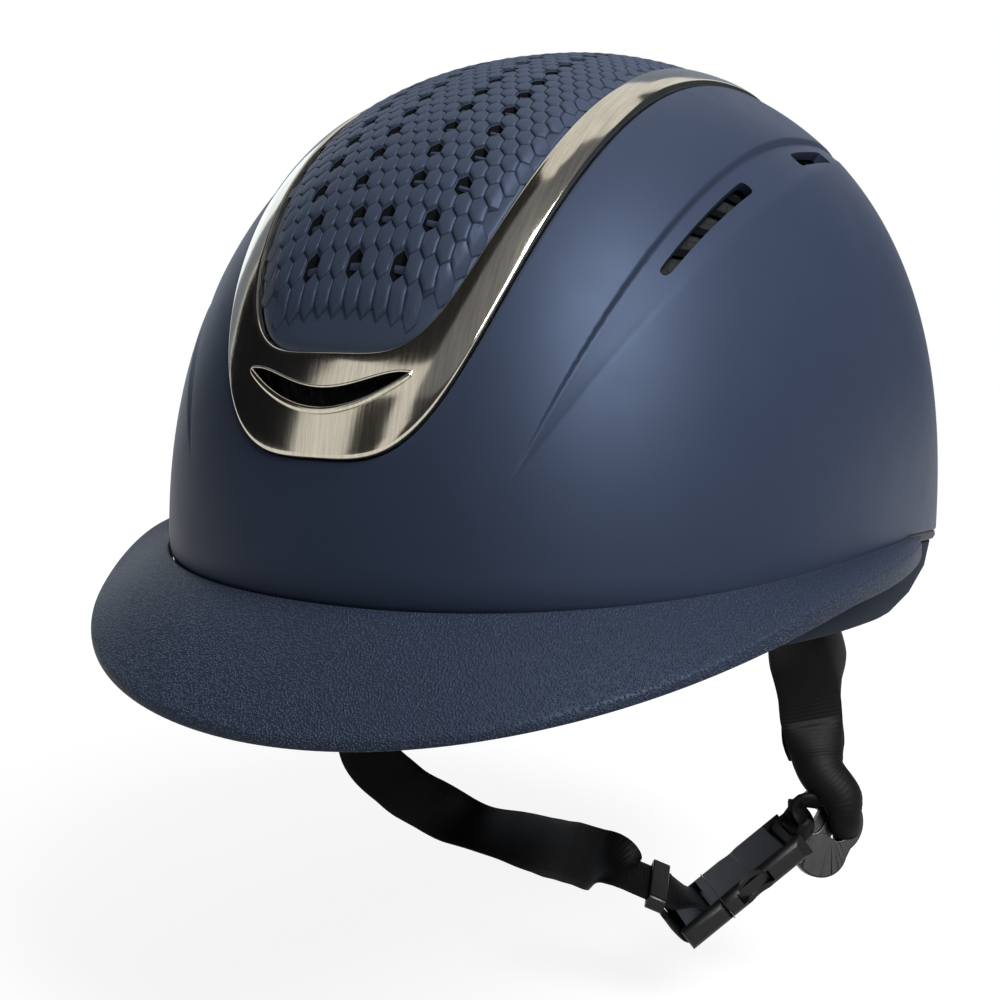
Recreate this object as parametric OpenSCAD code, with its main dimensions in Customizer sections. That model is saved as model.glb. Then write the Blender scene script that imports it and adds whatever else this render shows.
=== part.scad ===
// Riding helmet: hard shell with a wide peak, a vented honeycomb crown panel in a
// metal-look frame, side air channels, a padded lining and a chin harness with a
// side-release buckle.
// Millimetres. +Z is up, the peak points to -Y and the wearer's left side is +X.
// The origin is the centre of the level ring, the widest ring of the shell, where a
// head sits. Plan angles count from the front (0) over the wearer's left (90) to the
// back (180). On the crown, arc angles count from the front over the top, and side
// angles out to the left.

/* [Shell] */
// half the shell's width at the level ring
shell_half_w = 112; // [104:0.5:122]
// shell length ahead of the origin
shell_front = 139.5; // [130:0.5:150]
// shell length behind the origin
shell_back = 141.5; // [132:0.5:152]
// crown height above the level ring
crown_h = 149.5; // [138:0.5:160]
// how far the top of the crown leans back
crown_lean = 2.8; // [0:0.2:8]
// half-height of the curve that tucks in below the level ring
tuck_h = 50; // [42:1:65]
// wall of the hard shell
shell_wall = 3.4; // [2.8:0.1:4.4]
// height of the shell's lower edge at the sides
seam_side = 3.4; // [0:0.2:8]
// how far that edge dips at the front and the back
seam_dip = 13.6; // [8:0.2:20]
// how far the shell runs on below the peak's top edge
shell_under_peak = 4.5; // [3:0.5:6]

/* [Lower shell] */
// depth of the lower edge below the level ring, at the sides
low_side = 21; // [16:0.5:26]
// extra depth of the lower edge at the brow
low_brow = 4; // [2:0.5:8]
// extra depth of the lower edge at the nape
low_nape = 12; // [4:0.5:20]
// wall of the lower shell
low_wall = 2; // [1.5:0.1:3]
// step in from the hard shell's face
low_step = 1.6; // [0.8:0.1:2.4]
// height of the rubber edging between the two shells
edging_h = 3; // [2:0.2:5]

/* [Peak] */
// reach of the peak ahead of the shell
peak_reach = 27.5; // [18:0.5:40]
// drop of the peak's lip below its top edge at the front
peak_drop = 30.5; // [20:0.5:38]
// drop of the lip at the sides
peak_side_drop = 8; // [6:0.2:12]
// plan angle where the peak ends
peak_end = 95; // [80:1:105]
// height of the lip at the front
lip_h = 3.2; // [2.4:0.1:5]
// height of the lip along the sides
lip_side_h = 6; // [4:0.2:8]
// thickness of the peak at its root
peak_root = 1.5; // [1:0.1:2.5]

/* [Crown panel and frame] */
// arc angle of the middle of the panel
panel_mid = 69; // [60:1:80]
// half the arc length of the frame, in degrees
frame_half_arc = 58.5; // [50:0.5:64]
// half the side angle of the frame, in degrees
frame_half_side = 21; // [17:0.5:25]
// half the arc length of the panel, in degrees
panel_half_arc = 47.2; // [40:0.2:50]
// half the side angle of the panel, in degrees
panel_half_side = 16.8; // [12:0.2:18]
// depth of the seat for the panel and its frame
seat_depth = 2; // [1.6:0.1:2.4]
// how far the frame stands out of the shell
frame_rise = 1; // [0.4:0.1:2]
// clearance round the frame, the panel and the peak
fit_gap = 0.4; // [0.2:0.05:0.8]
// width of the honeycomb cells across the helmet
cell_w = 4.7; // [3.8:0.1:6]
// distance between rows of cells, seen from above
cell_row = 3.65; // [3:0.05:5]
// height of the cells above the panel
cell_rise = 0.75; // [0.3:0.05:1.2]
// distance of the first row of air holes ahead of the origin
hole_start = 123; // [110:0.5:126]
// rows of air holes
hole_rows = 17; // [6:1:20]
// smooth margin of the panel at its sides
panel_margin = 1.3; // [0.8:0.1:3]
// smooth margin of the panel at its ends, in degrees
panel_end_margin = 5; // [4:0.2:8]

/* [Front intake] */
// half the side angle of the crescent slot, in degrees
slot_half = 10.3; // [7:0.1:12]
// arc angle of the middle of its lower lip
slot_low = 15.7; // [14.5:0.1:17]
// height of the slot in the middle, in degrees
slot_high = 2.2; // [1.4:0.1:3]
// how far the ends of the slot turn up, in degrees
slot_turn = 4.2; // [2:0.1:6]

/* [Side channels] */
// arc angle where a channel starts
channel_start = 10; // [8:1:20]
// arc angle where a channel ends
channel_end = 116; // [100:1:125]
// side angle of a channel's upper edge at its highest
channel_side = 32; // [29:0.5:36]
// width of a channel, in degrees
channel_w = 5.9; // [4:0.1:7]
// depth of a channel at its upper edge
channel_depth = 1.9; // [1:0.1:2.4]
// arc angle where the inlet slot starts
inlet_start = 38.5; // [34:0.5:44]
// arc angle where the inlet slot ends
inlet_end = 62; // [56:0.5:68]
// arc angle where the outlet slot starts
outlet_start = 81; // [76:0.5:88]
// arc angle where the outlet slot ends
outlet_end = 96; // [90:0.5:104]

/* [Lining] */
// half the width inside the foam
foam_half_w = 84; // [78:0.5:90]
// length inside the foam ahead of the origin
foam_front = 105; // [98:0.5:112]
// length inside the foam behind the origin
foam_back = 106; // [98:0.5:112]
// height inside the foam
foam_h = 118; // [108:0.5:126]
// thickness of the brow and nape pads
pad_t = 7; // [4:0.5:10]
// height of the brow and nape pads
pad_h = 34; // [22:1:44]
// thickness of the crown pad
crown_pad_t = 6; // [4:0.5:9]
// clearance of a pad from the foam
pad_gap = 0.75; // [0.6:0.05:0.95]
// hook-and-loop spots: half of their diameter
spot_r = 8; // [5:0.5:12]

/* [Harness] */
// width of the webbing
web_w = 20; // [15:1:25]
// thickness of the webbing
web_t = 1.5; // [1.2:0.1:2]
// place of the front strap anchors along the helmet
anchor_front = -14; // [-24:1:0]
// place of the back strap anchors along the helmet
anchor_back = 48; // [36:1:56]
// height of the strap anchors above the level ring
anchor_up = 14; // [10:0.5:24]
// width of an anchor plate
anchor_w = 26; // [24:0.5:30]
// height of an anchor plate
anchor_h = 20; // [17:0.5:26]
// thickness of an anchor plate
anchor_t = 2.2; // [1.6:0.1:3]
// diameter of the rivets' heads
rivet_d = 8; // [6:0.5:10]
// thickness of the strap divider
divider_t = 4; // [3:0.2:5]
// clearance of webbing in its loops
web_gap = 0.4; // [0.3:0.05:0.8]

/* [Buckle] */
// width of the buckle
buckle_w = 25.4; // [25:0.2:32]
// thickness of the buckle
buckle_t = 7.4; // [7:0.2:10]
// length of the socket half
socket_l = 31; // [29:0.5:36]
// length of the plug half outside the socket
plug_l = 15.5; // [15:0.5:22]
// clearance of the plug in the socket
plug_gap = 0.3; // [0.2:0.05:0.4]
// wall of the socket
socket_wall = 1.8; // [1.4:0.1:2.4]
// length of the prongs
prong_l = 17; // [14:0.5:19]
// width of a prong
prong_w = 3; // [2.2:0.1:4]

/* [Hidden] */
$fn = 48;

navy = [0.13, 0.17, 0.26];
navy_soft = [0.10, 0.13, 0.20];
gunmetal = [0.42, 0.41, 0.40];
black = [0.06, 0.06, 0.07];
foam_grey = [0.16, 0.16, 0.18];
cloth = [0.08, 0.09, 0.12];

spokes = 54;              // columns of the shells
n_front = 2.17;           // roundness of the side profile, front and back
n_back = 2.42;
p_front = 2.37;           // roundness of the plan, front and back
p_back = 2.33;
frame_corner = 0.57;      // how square the frame's and the panel's ends are
panel_corner = 0.44;

// Curves of the skin
function ease(x) = let (c = max(0, min(1, x))) c * c * (3 - 2 * c);
function back_w(a) = ease((1 - cos(a)) / 2);
function layer(t) = [t, t, t, t];
foam_layer = [shell_half_w - foam_half_w, shell_front - foam_front,
              shell_back - foam_back, crown_h - foam_h];
function deeper(l, t) = [l[0] + t, l[1] + t, l[2] + t, l[3] + t];
function ring_r(a, l) =
    let (p = p_front + (p_back - p_front) * back_w(a),
         half = cos(a) > 0 ? shell_front - l[1] : shell_back - l[2])
    pow(pow(abs(sin(a)) / (shell_half_w - l[0]), p) + pow(abs(cos(a)) / half, p), -1 / p);
function n_at(a) = n_front + (n_back - n_front) * back_w(a);
function h_at(z, l) = z >= 0 ? crown_h - l[3] : tuck_h;
function lean(z) = crown_lean * pow(max(z, 0) / crown_h, 2);
// radius, and point, of a layer at plan angle a and height z
function skin_r(a, z, l) =
    ring_r(a, l) * pow(max(0, 1 - pow(abs(z) / h_at(z, l), n_at(a))), 1 / n_at(a));
function skin(a, z, l) = let (r = skin_r(a, z, l)) [r * sin(a), lean(z) - r * cos(a), z];
// point of a layer in direction d
function along(d, l) =
    let (a = atan2(d[0], -d[1]), r = norm([d[0], d[1]]), n = n_at(a),
         k = pow(pow(r / ring_r(a, l), n) + pow(abs(d[2]) / h_at(d[2], l), n), -1 / n))
    [k * d[0], k * d[1] + lean(k * d[2]), k * d[2]];
function aim(arc, side) = [sin(side), -cos(arc) * cos(side), sin(arc) * cos(side)];
function on_crown(arc, side, depth) = along(aim(arc, side), layer(depth));
function unit(v) = v / norm(v);
function mix(p, q, u) = p + (q - p) * u;
function seam_z(a) = seam_side - seam_dip * pow(abs(cos(a)), 2);
function under_peak(a) = shell_under_peak * (1 - ease((abs(a) - (peak_end - 14)) / 12));
function turn_of(k, n) = let (a = 360 * k / n) a > 180 ? a - 360 : a;
function rim_z(a) = seam_z(a) - under_peak(a);
function low_z(a) =
    -(low_side + low_nape * pow((1 - cos(a)) / 2, 2) + low_brow * pow((1 + cos(a)) / 2, 3));

// closed outline of the frame (and, smaller, of the panel) in arc and side angles
// turns crowd towards the blunt ends, so that the points there lie evenly
function crowd(t) = let (q = abs(t) > 90 ? 180 - abs(t) : abs(t), w = 90 * pow(q / 90, 1.6))
    sign(t) * (abs(t) > 90 ? 180 - w : w);
function outline(turn, arc, side, corner) = let (t = crowd(turn))
    [panel_mid - arc * cos(t), side * sign(sin(t)) * pow(abs(sin(t)), corner)];
function frame_line(t, inset) =
    outline(t, frame_half_arc - inset, frame_half_side - inset, frame_corner);
function panel_line(t, inset) =
    outline(t, panel_half_arc - inset, panel_half_side - inset, panel_corner);
function line_aim(p) = aim(p[0], p[1]);
deg = 180 / (PI * 140);   // degrees of arc for 1 mm on the crown

// Closed surfaces from rings of points
module torus(rings) {
    n = len(rings);
    m = len(rings[0]);
    polyhedron([for (r = rings) each r],
        [for (k = [0:n - 1]) for (j = [0:m - 1])
            let (a = k * m + j, b = k * m + (j + 1) % m,
                 c = ((k + 1) % n) * m + (j + 1) % m, d = ((k + 1) % n) * m + j)
            each [[a, b, c], [a, c, d]]]);
}
module sweep(rings) {
    n = len(rings);
    m = len(rings[0]);
    polyhedron([for (r = rings) each r], concat(
        [for (k = [0:n - 2]) for (j = [0:m - 1])
            let (a = k * m + j, b = k * m + (j + 1) % m,
                 c = (k + 1) * m + (j + 1) % m, d = (k + 1) * m + j)
            each [[a, b, c], [a, c, d]]],
        [for (j = [1:m - 2]) [0, j + 1, j]],
        [for (j = [1:m - 2]) let (o = (n - 1) * m) [o, o + j, o + j + 1]]));
}
// closed bowl or disc: rings from a first pole to a last pole
module poles(first, rings, last) {
    n = len(rings);
    m = len(rings[0]);
    z = n * m + 1;
    polyhedron(concat([first], [for (r = rings) each r], [last]), concat(
        [for (j = [0:m - 1]) [0, 1 + (j + 1) % m, 1 + j]],
        [for (k = [0:n - 2]) for (j = [0:m - 1])
            let (a = 1 + k * m + j, b = 1 + k * m + (j + 1) % m,
                 c = 1 + (k + 1) * m + (j + 1) % m, d = 1 + (k + 1) * m + j)
            each [[a, b, c], [a, c, d]]],
        [for (j = [0:m - 1])
            let (a = 1 + (n - 1) * m + j, b = 1 + (n - 1) * m + (j + 1) % m)
            [a, b, z]]));
}
// solid between two four-point stations
module link(p, q) {
    hull() polyhedron(concat(p, q), [[0, 1, 2, 3], [7, 6, 5, 4], [0, 4, 5, 1],
        [1, 5, 6, 2], [2, 6, 7, 3], [3, 7, 4, 0]]);
}
module both_sides() {
    children();
    mirror([1, 0, 0]) children();
}

// Shells
function shell_ring(t) =
    let (d1 = line_aim(frame_line(t, 0)), d3 = line_aim(panel_line(t, 6 * deg)),
         r = skin(t, rim_z(t), layer(0)), d2 = unit(r - [0, lean(r[2]), 0]),
         q = skin(t, rim_z(t), layer(shell_wall)), d4 = unit(q - [0, lean(q[2]), 0]))
    concat(
        [for (i = [0:10]) along(unit(mix(d1, d2, i / 10)), layer(0))],
        [for (i = [0:9]) along(unit(mix(d4, d3, i / 9)), layer(shell_wall))],
        [along(d3, layer(seat_depth)), along(d1, layer(seat_depth))]);
function channel_top(arc) = channel_side - 0.0028 * pow(arc - 71, 2);
function channel_span(arc) =
    channel_w * pow(max(0, sin(180 * (arc - channel_start) / (channel_end - channel_start))), 0.8);
function channel_cut(arc) =
    let (u = channel_top(arc), w = max(0.25, channel_span(arc)),
         d = max(0.06, channel_depth * pow(channel_span(arc) / channel_w, 0.9)))
    [on_crown(arc, u, -2), on_crown(arc, u + 0.15, d), on_crown(arc, u + w, -0.02),
     on_crown(arc, u + w, -2)];
module channel() {
    n = 10;
    for (i = [0:n - 1])
        link(channel_cut(channel_start + (channel_end - channel_start) * i / n),
             channel_cut(channel_start + (channel_end - channel_start) * (i + 1) / n));
}
function slot_cut(arc, lo, hi, from, to) =
    let (u = channel_top(arc))
    [on_crown(arc, u + lo, from), on_crown(arc, u + lo, to), on_crown(arc, u + hi, to),
     on_crown(arc, u + hi, from)];
module side_slot(from, to) {
    for (i = [0:2]) {
        a = inlet_start + (inlet_end - inlet_start) * i / 3;
        b = inlet_start + (inlet_end - inlet_start) * (i + 1) / 3;
        link(slot_cut(a, 1.9, 2.9 + 0.37 * i, from, to), slot_cut(b, 1.9, 3.27 + 0.37 * i, from, to));
    }
    for (i = [0:1]) {
        a = outlet_start + (outlet_end - outlet_start) * i / 2;
        b = outlet_start + (outlet_end - outlet_start) * (i + 1) / 2;
        link(slot_cut(a, 1.7, 3.9, from, to), slot_cut(b, 1.7, 3.9, from, to));
    }
}
function slot_line(side, up) =
    slot_low + slot_turn * pow(side / slot_half, 2)
    + up * slot_high * (1 - pow(abs(side) / slot_half, 2.4));
function intake_cut(side, from, to, grow) =
    let (b = slot_line(side, 0) - grow, t = slot_line(side, 1) + grow + 0.05)
    [on_crown(b, side, from), on_crown(b, side, to), on_crown(t, side, to),
     on_crown(t, side, from)];
module intake(from, to, grow) {
    n = 10;
    w = slot_half + grow * 0.6;
    for (i = [0:n - 1])
        link(intake_cut(w * (2 * i / n - 1), from, to, grow),
             intake_cut(w * (2 * (i + 1) / n - 1), from, to, grow));
}
mesh_rim = 0.8;           // how far the intake's mesh reaches past its slot, in degrees
module outer_shell() {
    color(navy) difference() {
        torus([for (k = [0:spokes - 1]) shell_ring(-turn_of(k, spokes))]);
        both_sides() {
            channel();
            side_slot(-3, shell_wall + 2);
        }
        intake(-2, shell_wall + 2, mesh_rim + 0.3);
    }
}
function lower_ring(a) =
    let (top = rim_z(a) - edging_h - 0.3, bot = low_z(a))
    concat(
        [for (i = [0:2]) skin(a, mix(top, bot, i / 2), layer(low_step))],
        [skin(a, bot, layer(low_step + low_wall + 6))],
        [skin(a, bot + low_wall, layer(low_step + low_wall + 6))],
        [for (i = [0:1]) skin(a, mix(bot + low_wall, top, i), layer(low_step + low_wall))]);
module lower_shell() {
    color(navy_soft)
        torus([for (k = [0:spokes - 1]) lower_ring(-turn_of(k, spokes))]);
}
function edging_ring(a) =
    let (top = rim_z(a) - 0.15, bot = top - edging_h)
    [skin(a, top, layer(0.3)), skin(a, bot, layer(0.9)),
     skin(a, bot, layer(shell_wall + low_wall - 1.6)), skin(a, top, layer(shell_wall + 0.2))];
module edging() {
    color(black)
        torus([for (k = [0:spokes - 1]) edging_ring(-turn_of(k, spokes))]);
}

// Peak
function reach(a) = peak_root + 0.6 + (peak_reach - peak_root - 0.6)
    * (1 - pow(min(1, abs(a) / peak_end), 1.5));
function drop(a) = peak_side_drop
    + (peak_drop - peak_side_drop) * pow(max(0, cos(abs(a) * 90 / 62)), 1.5);
function lip(a) = mix(lip_h, lip_side_h, ease((abs(a) - 38) / 18));
function peak_pt(a, w, z, r) = [(r + w) * sin(a), -(r + w) * cos(a), z];
function peak_ring(a) =
    let (zs = seam_z(a), r = ring_r(a, layer(0)), w = reach(a), zl = zs - drop(a),
         zt = zl + lip(a), zf = zs - under_peak(a) * 0.9 - 0.6,
         z0 = zs - 0.3, zb = min(zf, z0 - 1.5))
    [peak_pt(a, fit_gap, z0, skin_r(a, zs, layer(0))),
     peak_pt(a, fit_gap + peak_root, z0 - 0.4, skin_r(a, zs, layer(0))),
     peak_pt(a, mix(peak_root, w, 0.30), mix(z0, zt, 0.27), r),
     peak_pt(a, mix(peak_root, w, 0.62), mix(z0, zt, 0.58), r),
     peak_pt(a, w - 0.8, mix(z0, zt, 0.97), r),
     peak_pt(a, w, zt - 0.6, r),
     peak_pt(a, w, zl + 0.6, r),
     peak_pt(a, w - 0.8, zl, r),
     peak_pt(a, mix(peak_root, w, 0.60), min(mix(zb, zl, 0.62), mix(z0, zt, 0.58) - 3), r),
     peak_pt(a, mix(peak_root, w, 0.30), min(mix(zb, zl, 0.30), mix(z0, zt, 0.27) - 3), r),
     peak_pt(a, fit_gap, zb, skin_r(a, zb, layer(0))),
     peak_pt(a, fit_gap, mix(zb, z0, 0.5), skin_r(a, mix(zb, z0, 0.5), layer(0)))];
module peak() {
    n = 46;
    color(navy)
        sweep([for (k = [0:n]) peak_ring(peak_end * (1 - 2 * k / n))]);
}

// Crown panel, its frame and the meshes
// point of a layer over a place in plan
function over_z(x, y, depth) =
    let (a = atan2(x, -y), n = n_at(a), r = norm([x, y]) / ring_r(a, layer(depth)))
    (crown_h - depth) * pow(max(0, 1 - pow(r, n)), 1 / n);
function over(x, y, depth) =
    let (y1 = y - lean(over_z(x, y, depth)), y2 = y - lean(over_z(x, y1, depth)))
    [x, y, over_z(x, y2, depth)];
function cell_x(i, j) = cell_w * (i + (abs(j) % 2) / 2);
function cell_y(j) = -hole_start + cell_row * j;
function is_hole(i, j) =
    j >= 0 && j % 2 == 0 && j / 2 < hole_rows
    && (j == 0 ? (i == 0 || abs(i) == 3)
        : j == 2 ? (abs(i) == 1 || abs(i) == 4) : (abs(i) == 2 || abs(i) == 5));
function in_field(x, y) =
    let (z = over_z(x, y, 0), d = unit([x, y, z]), arc = atan2(d[2], -d[1]),
         side = asin(d[0]), fa = abs(arc - panel_mid) / (panel_half_arc - panel_end_margin))
    fa < 1 && abs(side) < (panel_half_side - panel_margin) * pow(1 - fa * fa, panel_corner / 2);
function in_cells(c) = in_field(cell_x(c[0], c[1]), cell_y(c[1]));
function is_body(c) = in_cells(c) && !is_hole(c[0], c[1]);
// corners of the cells lie on a grid of half widths and thirds of a row
corner_x = [0, 1, 1, 0, -1, -1];
corner_y = [-2, -1, 1, 2, 1, -1];
first_row = -4;
last_row = ceil((hole_start + 76) / cell_row);
half_cols = 22;
first_line = 3 * first_row - 2;
last_line = 3 * last_row + 2;
function grid_x(n) = n * cell_w / 2;
function grid_y(n) = -hole_start + n * cell_row / 3;
function corner_no(c, k) =
    (3 * c[1] + corner_y[k] - first_line) * (2 * half_cols + 1)
    + 2 * c[0] + abs(c[1]) % 2 + corner_x[k] + half_cols;
function grid(depth) = [for (n = [first_line:last_line]) for (m = [-half_cols:half_cols])
    over(grid_x(m), grid_y(n), depth)];
// the neighbour across side k
function beside(c, k) =
    let (odd = abs(c[1]) % 2)
    k == 0 ? [c[0] + odd, c[1] - 1] : k == 1 ? [c[0] + 1, c[1]] : k == 2 ? [c[0] + odd, c[1] + 1]
    : k == 3 ? [c[0] + odd - 1, c[1] + 1] : k == 4 ? [c[0] - 1, c[1]] : [c[0] + odd - 1, c[1] - 1];
body_cells = [for (j = [first_row:last_row]) for (i = [-9:9]) if (is_body([i, j])) [i, j]];
hole_cells = [for (j = [first_row:last_row]) for (i = [-9:9])
    if (in_cells([i, j]) && is_hole(i, j)) [i, j]];
// one sheet of domed cells, with a step down at its border and round each air hole
module honeycomb() {
    top = grid(0.05);
    low = grid(0.9);
    n = len(top);
    polyhedron(
        concat(top, low, [for (c = body_cells) over(cell_x(c[0], c[1]), cell_y(c[1]), -cell_rise)]),
        [for (q = [0:len(body_cells) - 1]) let (c = body_cells[q])
            for (k = [0:5]) let (a = corner_no(c, k), b = corner_no(c, (k + 1) % 6),
                                 f = corner_no(c, 0))
                each concat([[2 * n + q, b, a]],
                    k > 0 && k < 5 ? [[n + f, n + a, n + b]] : [],
                    is_body(beside(c, k)) ? [] : [[a, b, n + b], [a, n + b, n + a]])]);
}
module air_holes() {
    for (c = hole_cells) translate([0, 0, 20]) linear_extrude(crown_h)
        polygon([for (k = [0:5]) [grid_x(2 * c[0] + abs(c[1]) % 2 + corner_x[k]),
                                  grid_y(3 * c[1] + corner_y[k])]]);
}
function panel_loop(f, depth) = [for (k = [0:spokes - 1])
    let (t = turn_of(k, spokes), p = panel_line(t, (fit_gap + 0.1) * deg))
    on_crown(panel_mid + (p[0] - panel_mid) * f, p[1] * f, depth)];
module crown_panel() {
    color(navy) difference() {
        union() {
            poles(on_crown(panel_mid, 0, 0.3),
                [for (f = [0.2, 0.4, 0.6, 0.8]) panel_loop(f, 0.3),
                 panel_loop(0.985, 0.4), panel_loop(1, seat_depth - 0.4),
                 for (f = [0.92, 0.6, 0.3]) panel_loop(f, seat_depth - 0.4)],
                on_crown(panel_mid, 0, seat_depth - 0.4));
            honeycomb();
        }
        air_holes();
    }
}
function frame_ring(t) =
    let (o = frame_line(t, fit_gap * deg), i = panel_line(t, -0.1 * deg),
         f = function (u, depth) along(unit(mix(line_aim(o), line_aim(i), u)), layer(depth)))
    [f(0, seat_depth - 0.25), f(0, -0.1), f(0.10, -frame_rise), f(0.36, -frame_rise - 0.25),
     f(0.64, -frame_rise - 0.25), f(0.90, -frame_rise), f(1, -0.1), f(1, seat_depth - 0.25),
     f(0.5, seat_depth - 0.25)];
function lip_ring(side) =
    let (c = slot_line(side, 0) - 0.12)
    [for (k = [0:5]) on_crown(c + 0.42 * cos(60 * k), side, -frame_rise - 0.35 + 0.75 * sin(60 * k))];
module panel_frame() {
    color(gunmetal) difference() {
        union() {
            torus([for (k = [0:spokes - 1]) frame_ring(turn_of(k, spokes))]);
            sweep([for (k = [0:14]) lip_ring(slot_half * 0.98 * (k / 7 - 1))]);
        }
        intake(-4, seat_depth + 1, 0);
    }
}
// a strip of mesh: two long rails and crossing bars
module mesh_strip(pt, n, slant) {
    for (w = [0, 0.84]) sweep([for (i = [0:n]) let (u = i / n)
        [pt(u, w, 0), pt(u, w, 1), pt(u, w + 0.16, 1), pt(u, w + 0.16, 0)]]);
    for (i = [0:n - 1]) let (u = (i + 0.1) / n, e = 0.3 / n)
        link([pt(u, 0.08, 0.1), pt(u, 0.08, 0.9), pt(u + e, 0.08, 0.9), pt(u + e, 0.08, 0.1)],
             [pt(u + slant / n, 0.92, 0.1), pt(u + slant / n, 0.92, 0.9),
              pt(u + slant / n + e, 0.92, 0.9), pt(u + slant / n + e, 0.92, 0.1)]);
}
mesh_top = shell_wall + 0.95;
module intake_mesh() {
    color(black) mesh_strip(function (u, v, d)
        let (side = slot_half * (1 - 2 * min(1, u)), low = slot_line(side, 0) - mesh_rim,
             high = slot_line(side, 1) + mesh_rim)
        on_crown(mix(low, high, v), side, seat_depth + 0.1 + 0.8 * d), 7, 0.5);
}
module vent_mesh() {
    color(black) {
        mesh_strip(function (u, v, d)
            let (arc = mix(inlet_start - 1, inlet_end + 1, min(1, u)))
            on_crown(arc, channel_top(arc) + 1.2 + 3.6 * v, mesh_top + 0.7 * d), 5, 0.5);
        mesh_strip(function (u, v, d)
            let (arc = mix(outlet_start - 1, outlet_end + 1, min(1, u)))
            on_crown(arc, channel_top(arc) + 1.1 + 3.5 * v, mesh_top + 0.7 * d), 3, 0.5);
    }
}
module vent_mesh_left() { vent_mesh(); }
module vent_mesh_right() { mirror([1, 0, 0]) vent_mesh(); }

// Lining
foam_top = shell_wall + 1.95;
foam_cols = 48;
function foam_low(a) = low_z(a) + low_wall + 0.3;
// point of the foam's inner face, or d deeper in: upright below the level ring
function inside(a, z, d) =
    let (l = deeper(foam_layer, d), n = n_at(a),
         r = ring_r(a, l) * (z > 0 ? pow(max(0, 1 - pow(z / h_at(z, l), n)), 1 / n) : 1))
    [r * sin(a), lean(z) - r * cos(a), z];
function foam_out(s) = [for (k = [0:foam_cols - 1])
    let (a = turn_of(k, foam_cols))
    along(unit(mix(unit(skin(a, foam_low(a), layer(foam_top))), [0, 0.02, 1], s)),
        layer(foam_top))];
function foam_in(z) = [for (k = [0:foam_cols - 1])
    let (a = turn_of(k, foam_cols)) inside(a, z > -1 ? z : foam_low(a), 0)];
module foam_liner() {
    color(foam_grey) difference() {
        poles(along([0, 0.02, 1], layer(foam_top)),
            [for (s = [0.90, 0.77, 0.61, 0.43, 0.23, 0]) foam_out(s),
             for (z = [-9, 0, 14, 27, 0.45 * foam_h, 0.67 * foam_h, 0.84 * foam_h,
                       0.95 * foam_h, 0.985 * foam_h]) foam_in(z)],
            [0, lean(foam_h), foam_h]);
        // air ways under the crown panel
        for (arc = [36:22:102]) for (side = [-9, 9])
            link([for (c = [[-4, -2.4], [-4, 2.4], [4, 2.4], [4, -2.4]])
                    on_crown(arc + c[0], side + c[1], 0)],
                 [for (c = [[-4, -2.4], [-4, 2.4], [4, 2.4], [4, -2.4]])
                    along(aim(arc + c[0], side + c[1]), deeper(foam_layer, 8))]);
        // seats of the rivets
        both_sides() for (y = [anchor_front, anchor_back]) at_rivet(y)
            translate([0, 0, -2]) cylinder(d = rivet_d / 2 + 0.6, h = rivet_in + 2.6, $fn = 12);
    }
}
// a curved pad inside the foam, from plan angle a0 to a1
function pad_edge(u) = pow(sin(180 * u), 0.35);
function pad_ring(a, u) =
    let (z0 = low_z(a) + low_wall + 1, e = 0.35 + 0.65 * pad_edge(u), t = pad_t * e,
         m = z0 + pad_h / 2, h = pad_h / 2 * (0.82 + 0.18 * pad_edge(u)),
         f = function (v, d) inside(a, m + h * v, pad_gap + d))
    [f(-1, 0), f(0, 0), f(1, 0), f(0.9, 0.62 * t), f(0.5, 0.96 * t), f(0, 0.6 * t),
     f(-0.5, 0.96 * t), f(-0.9, 0.62 * t)];
module pad(a0, a1, n) {
    color(cloth)
        sweep([for (k = [0:n]) pad_ring(mix(a0, a1, k / n), min(0.995, max(0.005, k / n)))]);
}
module brow_pad() { pad(-64, 64, 20); }
module nape_pad() { pad(134, 226, 16); }
function crown_loop(f, d) = [for (k = [0:23])
    let (t = 15 * k, p = [90 - 30 * f * cos(t) * (1 - 0.16 * pow(sin(2 * t), 2)),
                          26 * f * sin(t) * (1 - 0.16 * pow(sin(2 * t), 2))])
    along(aim(p[0], p[1]), deeper(foam_layer, pad_gap + 0.25 + d))];
module crown_pad() {
    t = crown_pad_t;
    color(cloth) difference() {
        poles(along(aim(90, 0), deeper(foam_layer, pad_gap + 0.25)),
            [crown_loop(0.5, 0), crown_loop(1, 0), crown_loop(0.95, 0.7 * t),
             crown_loop(0.78, 0.98 * t), crown_loop(0.62, 0.7 * t), crown_loop(0.46, 0.98 * t)],
            along(aim(90, 0), deeper(foam_layer, pad_gap + 0.25 + t)));
        for (k = [0:7]) rotate(45 * k) translate([20, 0, foam_h - 25])
            hull() cylinder(d = 7, h = 40, $fn = 10);
    }
}
module hook_spots() {
    color(black) for (a = [-48, -16, 16, 48, 144, 168, 192, 216])
        spot_disc(a);
}
// spots follow the foam's curve: a thin disc of the pad's clearance
module spot_disc(a) {
    z = low_z(a) + low_wall + 1 + pad_h * 0.62;
    r = ring_r(a, foam_layer);
    function p(t, f, d) =
        inside(a + f * spot_r * cos(t) / r * 57.3, z + f * spot_r * sin(t), d);
    poles(inside(a, z, pad_gap - 0.3),
        [[for (k = [0:7]) p(45 * k, 1, pad_gap - 0.3)],
         [for (k = [0:7]) p(45 * k, 1, pad_gap - 0.1)]],
        inside(a, z, pad_gap - 0.1));
}

// Harness
// turn of a point by rotate(r)
function spin(v, r) =
    let (a = [v[0], v[1] * cos(r[0]) - v[2] * sin(r[0]), v[1] * sin(r[0]) + v[2] * cos(r[0])],
         b = [a[0] * cos(r[1]) + a[2] * sin(r[1]), a[1], a[2] * cos(r[1]) - a[0] * sin(r[1])])
    [b[0] * cos(r[2]) - b[1] * sin(r[2]), b[0] * sin(r[2]) + b[1] * cos(r[2]), b[2]];
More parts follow.
